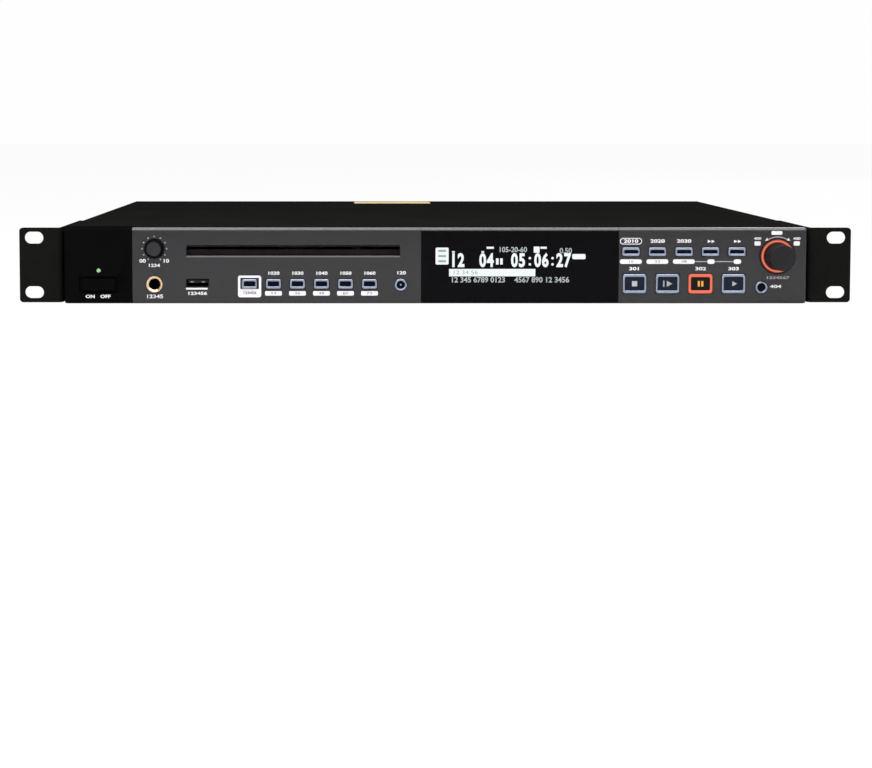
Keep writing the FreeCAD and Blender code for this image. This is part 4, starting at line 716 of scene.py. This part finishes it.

# %% Dark gaps round the key frames, with painted shade
GAP_AND_SHADE = 0.4
# Each dark ring is the gap round a frame with painted shade beside it; the one round the lit pause frame is
# painted red glow.
for name, ink in (("key_frames", 3), ("pause_frame", 4)):
    frames = merged(name)
    for group in islands(frames):
        across = [vert.co.x / MM for vert in group]
        upright = [vert.co.z / MM + CASE_HEIGHT / 2 for vert in group]
        width, tall = max(across) - min(across), max(upright) - min(upright)
        x, height = (max(across) + min(across)) / 2, (max(upright) + min(upright)) / 2
        if abs(width - tall) < 0.3:
            ring(front_print, x, height, width / 2 - 0.1, width / 2 + GAP_AND_SHADE, INK_FRONT + 0.02, INK_BACK, ink)
        else:
            framed(front_print, x, height, width + 2 * GAP_AND_SHADE, tall + 2 * GAP_AND_SHADE, INK_FRONT + 0.02, INK_BACK,
                   1.3, GAP_AND_SHADE + 0.1, ink)
    frames.free()
print("faces with the gaps", len(front_print.faces))

# %% Level knob, jack, port and power key
LEVEL_DOTS = 7.1
for step in range(11):
    angle = math.radians(240 - 30 * step)
    disc(front_print, LEVEL[0] + LEVEL_DOTS * math.cos(angle), LEVEL[1] + LEVEL_DOTS * math.sin(angle), 0.45,
         INK_FRONT, INK_BACK, ink=1, segments=10)
digits("00", -169.0, 24.7, 2.9)
digits("10", -155.6, 24.7, 2.9)
digits("1234", -162.5, 22.1, 2.5, wide=1.4)
digits("12345", -162.2, 4.1, 2.9, wide=1.4)
bar(-137.8, 8.7, 12.4, 1.0, corner=0.3)
digits("123456", -137.6, 5.9, 2.4, wide=1.6)
digits("ON", -199.4, 4.1, 2.6)
digits("OFF", -190.6, 4.1, 2.6)
print("faces with the left legends", len(front_print.faces))

# %% Small keys: the first in a white box, the others over a white bar
framed(front_print, FIRST_BOX, 10.0, 13.4, 12.6, INK_FRONT, INK_BACK, 1.4, 1.3, 0)
bar(FIRST_BOX, 6.75, 10.8, 3.5)
digits("123456", FIRST_BOX, 6.2, 2.2, ink=2, wide=1.2, lift=0.03)
for step, x in enumerate(SMALL_KEYS[1:], 2):
    digits("10%d0" % step, x, 17.6, 2.5, wide=1.4)
    bar(x, SMALL_BAR, 9.7, 2.6, corner=0.7)
    digits("%d" % (step * 12), x, SMALL_BAR, 1.9, ink=2, bold=0.0, wide=1.8, lift=0.03)
digits("120", -19.8, 17.8, 2.5, wide=1.5)
print("faces with the small keys' legends", len(front_print.faces))

# %% Upper keys and large keys
for step, x in enumerate(UPPER_KEYS[:3]):
    digits("20%d0" % (step + 1), x, UPPER_LEGEND, 2.7, wide=1.55)
    bar(x, UPPER_BAR, 12.6, 2.6, corner=1.2)
    digits("%d" % (step * 16 + 16), x, UPPER_BAR, 1.9, ink=2, bold=0.0, wide=1.8, lift=0.03)
framed(front_print, UPPER_KEYS[0], UPPER_LEGEND, 12.7, 3.7, INK_FRONT, INK_BACK, 1.8, 0.4, 0)
for x in (159.1, 174.3):
    bar(x, UPPER_BAR, 4.3, 2.6, corner=1.2)
    for side in (-1.1, 1.1):
        arrow(x + side, 36.1, 1.9, 1.7)
bar(153.4, UPPER_BAR, 6.8, 0.55, ink=1)
bar(166.7, UPPER_BAR, 10.6, 0.55, ink=1)
for number, x in (("301", LARGE_KEYS[0]), ("302", LARGE_KEYS[2]), ("303", LARGE_KEYS[3])):
    digits(number, x, 20.2, 2.6, wide=1.65)
print("faces with the right legends", len(front_print.faces))

# %% Jog knob
# A black ring round the lit ring: its gap with painted shade.
ring(front_print, JOG[0], JOG[1], 9.8, 10.5, INK_FRONT, INK_BACK, ink=3)
ring(front_print, JOG[0], JOG[1], 10.8, 11.45, INK_FRONT, INK_BACK, ink=1, steps=20, start=60, turn=60)
for angle, way in ((60, 1), (120, -1)):
    turn = math.radians(angle)
    tip = math.radians(angle - way * 9)
    outline = [(JOG[0] + reach * math.cos(a), JOG[1] + reach * math.sin(a))
               for reach, a in ((10.6, turn), (11.5, tip), (12.4, turn))]
    raised(front_print, outline, INK_FRONT, INK_BACK, 0.0, 0)
bar(196.9, 41.0, 6.3, 2.2, corner=0.6)
for x in (185.8, 208.4):
    digits("400", x, 37.7, 2.0, bold=0.05, wide=1.4)
    bar(x, 34.9, 3.5, 2.5, corner=0.5)
digits("1234567", 197.6, 15.0, 2.1, ink=1, bold=0.07, wide=1.85)
digits("404", 196.6, 9.9, 2.5, wide=1.75)
# The dark rings in the front print are gaps with painted shade, the red one painted glow.
finished("front_print", front_print, [white_ink, grey_ink, dark_ink, socket_black, gap_painted_glow])
print("front print done")

# %% [markdown]
# ## The display
#
# Behind the window stands a dark glass with lit digits. It could be a picture on a plane, but the
# digits are shapes here, so that they stay sharp from near by. They lie just under the window's
# face, because smoked plastic shows what is lit behind it as if it lay on its surface.

# %% Lit digits
LIT_FRONT = FRONT - 0.02
BIG_LEVEL = 24.8
BIG_SIZE = 10.6
BIG_BOLD = 0.42
BIG_WIDE = 0.72
lit = bmesh.new()


def lit_bar(x, height, width, tall, corner=0.0, ink=0, lift=0.0):
    slab(lit, x, height, width, tall, LIT_FRONT - lift, FRONT + 0.02, corner, ink)


def lit_digits(text, x, height, size, ink=0, bold=0.12, wide=1.0, lift=0.0):
    numeral(lit, text, x, height, size, LIT_FRONT - lift, ink, bold, wide=wide)


lit_bar(3.85, 27.6, 7.5, 9.8, corner=0.7)
for height in (24.6, 27.6, 30.6):
    lit_bar(3.85, height, 4.6, 1.3, corner=0.5, ink=2, lift=0.02)
for text, x in (("1", 10.4), ("2", 14.8), ("0", 27.3), ("4", 31.7)):
    lit_digits(text, x, BIG_LEVEL, BIG_SIZE, bold=BIG_BOLD, wide=BIG_WIDE)
lit_bar(10.4, 30.0, 1.6, 0.9)
lit_bar(27.3, 30.0, 1.6, 0.9)
for x in (35.7, 38.1):
    lit_bar(x, 24.5, 1.5, 3.6)
for text, x in (("0", 45.6), ("5", 50.0), ("0", 59.0), ("6", 63.4), ("2", 71.7), ("7", 76.1)):
    lit_digits(text, x, BIG_LEVEL, BIG_SIZE, bold=BIG_BOLD, wide=BIG_WIDE)
for x in (54.5, 67.6):
    for height in (22.8, 26.4):
        disc(lit, x, height, 0.75, LIT_FRONT, FRONT + 0.02, ink=0, segments=12)
lit_bar(31.6, 32.4, 4.2, 1.2)
lit_digits("105-20-60", 44.6, 31.2, 4.2, ink=1, bold=0.08, wide=0.95)
lit_bar(58.4, 31.3, 3.4, 3.6, corner=0.3)
lit_bar(62.4, 32.4, 3.6, 1.2)
lit_digits("0.50", 75.2, 30.6, 4.2, ink=1, bold=0.08, wide=1.0)
lit_bar(82.8, 27.3, 7.7, 3.0, corner=0.8)
lit_bar(32.8, 18.0, 49.8, 4.3)
lit_digits("12 34 56", 17.2, 18.0, 3.2, ink=2, bold=0.0, wide=1.3, lift=0.03)
lit_digits("12 345 6789 0123", 24.6, 13.7, 4.4, ink=1, bold=0.1, wide=0.98)
lit_digits("4567 890 12 3456", 61.5, 13.7, 4.4, ink=1, bold=0.1, wide=0.98)
finished("display_digits", lit, [display_glow, display_dim, display_shade])
print("display done")


# %% [markdown]
# ## The back
#
# The sockets stand in a black panel. Their solids hold several materials, which a rule by place
# tells apart: a face near an audio socket's axis lies in its dark cavity, a small separate solid is
# a bright pin, and the shell of a control socket is plated metal round a grey insert. Each phono
# jack gets its coloured insulator as a spun ring, a little inside the rim of the barrel.

# %% Sockets
INLET = (-185.3, 26.3)
XLR = ((189.7, 24.5), (164.8, 24.5), (113.5, 24.5))
XLR_HOLLOW = 9.4
RCA = ((144.5, 33.0), (144.5, 18.8), (92.9, 18.8))
RCA_END = REAR + 9.0
RCA_RIM = 4.15
RCA_HOLE = 1.6
DSUB_MOUTH = REAR + 5.6


def pins(limit, ink):
    def mark(mesh):
        for group in list(islands(mesh)):
            if max(v.co.x for v in group) - min(v.co.x for v in group) < limit * MM:
                for face in {face for vert in group for face in vert.link_faces}:
                    face.material_index = ink
    return mark


def xlr_place(x, y, height, normal):
    around = abs(normal.y) < 0.5 and near_axis(x, height, XLR) < XLR_HOLLOW
    floor = y < REAR - 2 and near_axis(x, height, XLR) < XLR_HOLLOW
    return 2 if around or floor else 0


def dsub_place(x, y, height, normal):
    if y < REAR - 0.6:
        return 0
    if abs(normal.y) > 0.9 and abs(y - DSUB_MOUTH + 0.4) < 0.1:
        return 2
    return 0 if near_axis(x, height, CONTACTS) < 0.7 else 1


def inlet_place(x, y, height, normal):
    inside = abs(x - INLET[0]) < 12.3 and abs(height - INLET[1]) < 8.5
    return 0 if y < REAR - 0.5 or (inside and abs(normal.y) < 0.5) else 2


def insulators(mesh):
    for face in mesh.faces:
        centre = face.calc_center_median() / MM
        barrel = centre.y > REAR - 0.5 and near_axis(centre.x, centre.z + CASE_HEIGHT / 2, RCA) > 2.2
        face.material_index = 1 if barrel else 0
    for vert in mesh.verts:
        vert.co.y = min(vert.co.y, (RCA_END - 0.8) * MM)
    for ink, (x, height) in enumerate(RCA, 2):
        ring(mesh, x, height, 3.45, RCA_RIM, RCA_END - 0.8, RCA_END, ink=1, steps=32)
        ring(mesh, x, height, RCA_HOLE, 3.45, RCA_END - 0.8, RCA_END - 0.3, ink=ink, steps=32)


CONTACTS = []
for middle, width, count in ((-78.1, 16.91, 5), (-127.6, 38.96, 13)):
    pitch = (width - 5.56) / (count - 1)
    for level, number in ((20.12, count), (17.28, count - 1)):
        CONTACTS += [(middle + (step - (number - 1) / 2) * pitch, level) for step in range(number)]
carried("xlr_sockets", [socket_violet, nickel, socket_brown], 0.15, xlr_place, pins(4, 1))
carried("dsub_sockets", [socket_black, nickel, insulator_grey], pick=dsub_place)
carried("mains_inlet", [socket_black, nickel, socket_grey], 0.2, inlet_place, pins(5, 1))
carried("rca_jacks", [socket_black, nickel, insulator_white, insulator_red, insulator_orange],
        more=insulators)
print("sockets done")

# %% [markdown]
# ## Prints on the back
#
# Thin white lines group the sockets, and a filled band closes each group below. They are hollowed
# shapes like the frames of the front; the group round the audio sockets has a step cut off one
# corner. The cover carries a blank yellow label near its back edge, and the panel a blank white one.

# %% Back prints
PANEL_INK = REAR + 0.05
rear_print = bmesh.new()


def rear_bar(x, height, width, tall, corner=0.0, ink=0):
    slab(rear_print, x, height, width, tall, REAR - 0.02, PANEL_INK, corner, ink)


def rear_digits(text, x, height, size, ink=0, bold=0.06, wide=1.4, lift=0.0):
    numeral(rear_print, text, x, height, size, PANEL_INK + lift, ink, bold, behind=True, wide=wide)


audio = ((126.2, 1.3), (199.3, 1.3), (199.3, 14.5), (204.9, 18.5), (204.9, 39.4), (126.2, 39.4))
hollowed(rear_print, raised(rear_print, audio, REAR - 0.02, PANEL_INK, 1.4), 0.95)
framed(rear_print, 105.95, 20.35, 42.1, 38.1, REAR - 0.02, PANEL_INK + 0.02, 1.4, 0.95)
framed(rear_print, -108.3, 15.95, 98.2, 28.5, REAR - 0.02, PANEL_INK, 1.4, 0.95)
framed(rear_print, 65.95, 6.65, 31.1, 10.9, REAR - 0.02, PANEL_INK, 1.4, 0.8, 1)
rear_bar(149.6, 4.2, 44.9, 4.0)
rear_bar(185.2, 4.2, 26.1, 4.0, ink=1)
rear_bar(105.95, 4.2, 40.1, 4.0)
rear_bar(-108.3, 4.6, 96.2, 4.7)
for x, height in ((180.8, 36.3), (155.7, 36.8), (136.7, 33.3), (136.7, 18.0)):
    rear_bar(x, height, 3.7, 3.7, corner=0.9, ink=1)
    rear_digits("1" if height > 35 or height < 20 else "2", x, height, 2.8, ink=2, lift=0.03)
for text, x, wide in (("12", 176.2, 1.9), ("345", 144.2, 2.0), ("678", 113.5, 1.9), ("901", 94.0, 1.7),
                      ("12345", -78.1, 1.4), ("123456", -127.6, 1.4)):
    rear_digits(text, x, 8.5, 3.2, wide=wide)
rear_digits("12 34", INLET[0] + 0.5, 9.7, 3.6, wide=1.2)
for text, x in (("1 2 3 4 5 6", 152.5), ("1 2 3 4 5", 106.5), ("1 2 3", -108.3)):
    rear_digits(text, x, 4.3, 3.4, ink=2, bold=0.03, wide=1.5, lift=0.03)
rear_digits("0 1 2 3 4", 185.6, 4.3, 3.4, ink=2, bold=0.1, wide=1.5, lift=0.03)
for height, number in ((9.4, "1"), (6.6, "2"), (3.8, "3")):
    disc(rear_print, 61.6, height, 1.15, REAR - 0.02, PANEL_INK, ink=0)
    rear_digits(number, 61.6, height, 1.8, ink=2, bold=0.03, wide=1.2, lift=0.03)
    rear_digits("12" + number, 56.6, height, 1.9, wide=1.6)
rear_digits("1234567", 73.2, 8.0, 1.9, wide=1.6)
rear_digits("12345", 73.9, 5.2, 1.9, wide=1.6)
rear_bar(-39.4, 15.2, 25.2, 23.9, corner=0.8)
framed(rear_print, -39.4, 15.2, 23.6, 22.3, REAR, PANEL_INK + 0.03, 0.6, 0.35, 1)
finished("rear_print", rear_print, [white_ink, grey_ink, dark_ink])

LABEL_SIZE = (57.0, 26.0, 0.1)
LABEL_PLACE = (-19.4, REAR - 16.0, 21.965)
label = bmesh.new()
paper = bmesh.ops.create_cube(label, size=1.0)["verts"]
bmesh.ops.scale(label, vec=[size * MM for size in LABEL_SIZE], verts=paper)
bmesh.ops.translate(label, vec=[place * MM for place in LABEL_PLACE], verts=paper)
finished("cover_label", label, [label_paper])
print("back prints done")


# %% [markdown]
# ## What the case hides
#
# The loader, the boards and the drive are hidden in most views, and the slot and the openings let
# a little of them show. They keep their solids and get the finish of what they are made of.

# %% Finishes inside
board_green = grained("epoxy_board_green", "1f4a2c", 0.4, grain=1.5, tone=0.25, relief=0.02, shine=0.3)
rubber = grained("rubber_moulded_black", "17171a", 0.7, grain=0.6, tone=0.1, relief=0.02, shine=0.2)
nylon = grained("nylon_moulded_white", "cfccc4", 0.45, grain=0.6, tone=0.05, relief=0.006, shine=0.3)
steel_rod = grained("steel_ground_bright", "b5b6b8", 0.22, metal=1.0, grain=0.6, stretch=(1, 0.1, 1),
                    tone=0.08)
cable_pvc = grained("pvc_ribbon_grey", "8c8d90", 0.5, grain=0.8, stretch=(1, 0.05, 1), tone=0.12, relief=0.03)
inside = {
    board_green: ("front_board", "main_board", "power_supply"),
    rubber: ("drive_belt", "feed_roller"),
    nylon: ("turntable", "clamp_puck", "motor_pulley"),
    steel_rod: ("lead_screw", "jog_plunger"),
    zinc: ("loader_frame", "clamp_arm", "deck_motors", "loading_motor"),
    moulded: ("deck_plate", "pickup_sled"),
    display_dark: ("display_module",),
    cable_pvc: ("cables",),
}
for material, names in inside.items():
    for name in names:
        for place in NODES[name].material_slots:
            place.material = material
print("inside pieces", sum(len(names) for names in inside.values()))

# %% [markdown]
# ## Floor, light and camera
#
# The player stands on a plain pale floor, and the background is white where the camera sees it
# directly, without more light on the object. Reflections don't show that white: they see a graded
# sky, brightest a little above the horizon, which the tones of the plates and frames are tuned to.
# A long narrow lamp overhead and a second one in front of it draw the line of light along the top
# edge of the front and on the upper side of every key frame, and the world fills the rest.

# %% Floor and world
FLOOR_HALF = 6.0
FLOOR_DROP = 0.0002
FLOOR_SHOWN = 0.95
SKY_FILL = 0.38
SKY_MIRRORED = 2.4
SKY_WHITE = 0.99


def pale_floor():
    mesh = bmesh.new()
    bmesh.ops.create_grid(mesh, x_segments=2, y_segments=2, size=FLOOR_HALF,
                          matrix=Matrix.Translation((0, 0, up(0) - FLOOR_DROP)))
    data = bpy.data.meshes.new("floor")
    mesh.to_mesh(data)
    mesh.free()
    floor = bpy.data.objects.new("floor", data)
    bpy.context.scene.collection.objects.link(floor)
    material = bpy.data.materials.new("paper_background_white")
    material.use_nodes = True
    tree = material.node_tree
    shader = tree.nodes["Principled BSDF"]
    shader.inputs["Base Color"].default_value = (0.86, 0.86, 0.86, 1)
    shader.inputs["Roughness"].default_value = 0.9
    shader.inputs["Specular IOR Level"].default_value = 0.1
    path = add(tree, "ShaderNodeLightPath", {})
    shown = add(tree, "ShaderNodeMath", {
        0: path.outputs["Is Camera Ray"], 1: FLOOR_SHOWN}, operation="MULTIPLY")
    glow = add(tree, "ShaderNodeEmission", {"Color": (1, 1, 1, 1), "Strength": 1.0})
    mixed = add(tree, "ShaderNodeMixShader", {
        0: shown.outputs[0], 1: shader.outputs["BSDF"], 2: glow.outputs["Emission"]})
    tree.links.new(mixed.outputs[0], tree.nodes["Material Output"].inputs["Surface"])
    data.materials.append(material)


pale_floor()
world = bpy.data.worlds.new("studio")
bpy.context.scene.world = world
world.use_nodes = True
sky = world.node_tree
sky.nodes.clear()
path = add(sky, "ShaderNodeLightPath", {})
away = add(sky, "ShaderNodeTexCoord", {}).outputs["Generated"]
rise = add(sky, "ShaderNodeSeparateXYZ", {"Vector": away}).outputs["Z"]
above = add(sky, "ShaderNodeValToRGB", {"Fac": rise})
above.color_ramp.elements[0].color = (0.2, 0.2, 0.2, 1)
above.color_ramp.elements[1].color = (0.04, 0.04, 0.04, 1)
for height, level in ((0.1, 0.4), (0.3, 0.7), (0.5, 0.3), (0.72, 0.06)):
    above.color_ramp.elements.new(height).color = (level, level, level, 1)
fill = add(sky, "ShaderNodeBackground", {"Color": (1, 1, 1, 1), "Strength": SKY_FILL})
mirrored = add(sky, "ShaderNodeBackground", {"Color": above.outputs["Color"], "Strength": SKY_MIRRORED})
white = add(sky, "ShaderNodeBackground", {"Color": (1, 1, 1, 1), "Strength": SKY_WHITE})
lit_by = add(sky, "ShaderNodeMixShader", {
    0: path.outputs["Is Glossy Ray"], 1: fill.outputs[0], 2: mirrored.outputs[0]})
seen = add(sky, "ShaderNodeMath", {
    0: path.outputs["Is Camera Ray"], 1: path.outputs["Is Transmission Ray"]}, operation="MAXIMUM")
mixed = add(sky, "ShaderNodeMixShader", {0: seen.outputs[0], 1: lit_by.outputs[0], 2: white.outputs[0]})
add(sky, "ShaderNodeOutputWorld", {"Surface": mixed.outputs[0]})
print("levels of the sky", len(above.color_ramp.elements))

# %% Lamps
def area_lamp(name, place, aim, width, depth, power):
    lamp = bpy.data.lights.new(name, "AREA")
    lamp.shape = "RECTANGLE"
    lamp.size = width
    lamp.size_y = depth
    lamp.energy = power
    holder = bpy.data.objects.new(name, lamp)
    bpy.context.scene.collection.objects.link(holder)
    holder.location = place
    holder.rotation_euler = (Vector(aim) - Vector(place)).to_track_quat("-Z", "Y").to_euler()


area_lamp("strip_above", (0.0, -0.18, 0.75), (0.0, -0.02, 0.0), 1.5, 0.24, 11.5)
area_lamp("strip_front", (0.0, -0.6, 0.74), (0.0, 0.0, 0.0), 1.6, 0.24, 6.5)
area_lamp("soft_front", (-0.9, -1.4, 0.9), (0.0, 0.0, 0.0), 0.8, 0.8, 3.0)
area_lamp("soft_back", (0.9, 1.6, 0.9), (0.0, 0.28, 0.0), 0.8, 0.8, 8.0)
print("lamps", len(bpy.data.lights))

# %% [markdown]
# ## The camera
#
# The photograph looks at the front from a little above, with a long lens. The lines that run to the
# back meet high above the front, so the camera stands a little left of the middle and only 8 cm
# above it. It looks down by three degrees, and a lens shift moves the picture in its frame.

# %% Camera
LOOKS_DOWN = 3
camera = bpy.data.cameras.new("camera")
camera.lens = 61.98
camera.sensor_width = 36.0
camera.shift_x = 0.0873
camera.shift_y = -0.2115
camera.clip_end = 50.0
viewer = bpy.data.objects.new("camera", camera)
bpy.context.scene.collection.objects.link(viewer)
viewer.location = (-0.0436, -0.8695, 0.0835)
viewer.rotation_euler = (math.radians(90 - LOOKS_DOWN), 0, 0)
bpy.context.scene.camera = viewer
bpy.context.scene.view_settings.view_transform = "Standard"
print("lens", camera.lens)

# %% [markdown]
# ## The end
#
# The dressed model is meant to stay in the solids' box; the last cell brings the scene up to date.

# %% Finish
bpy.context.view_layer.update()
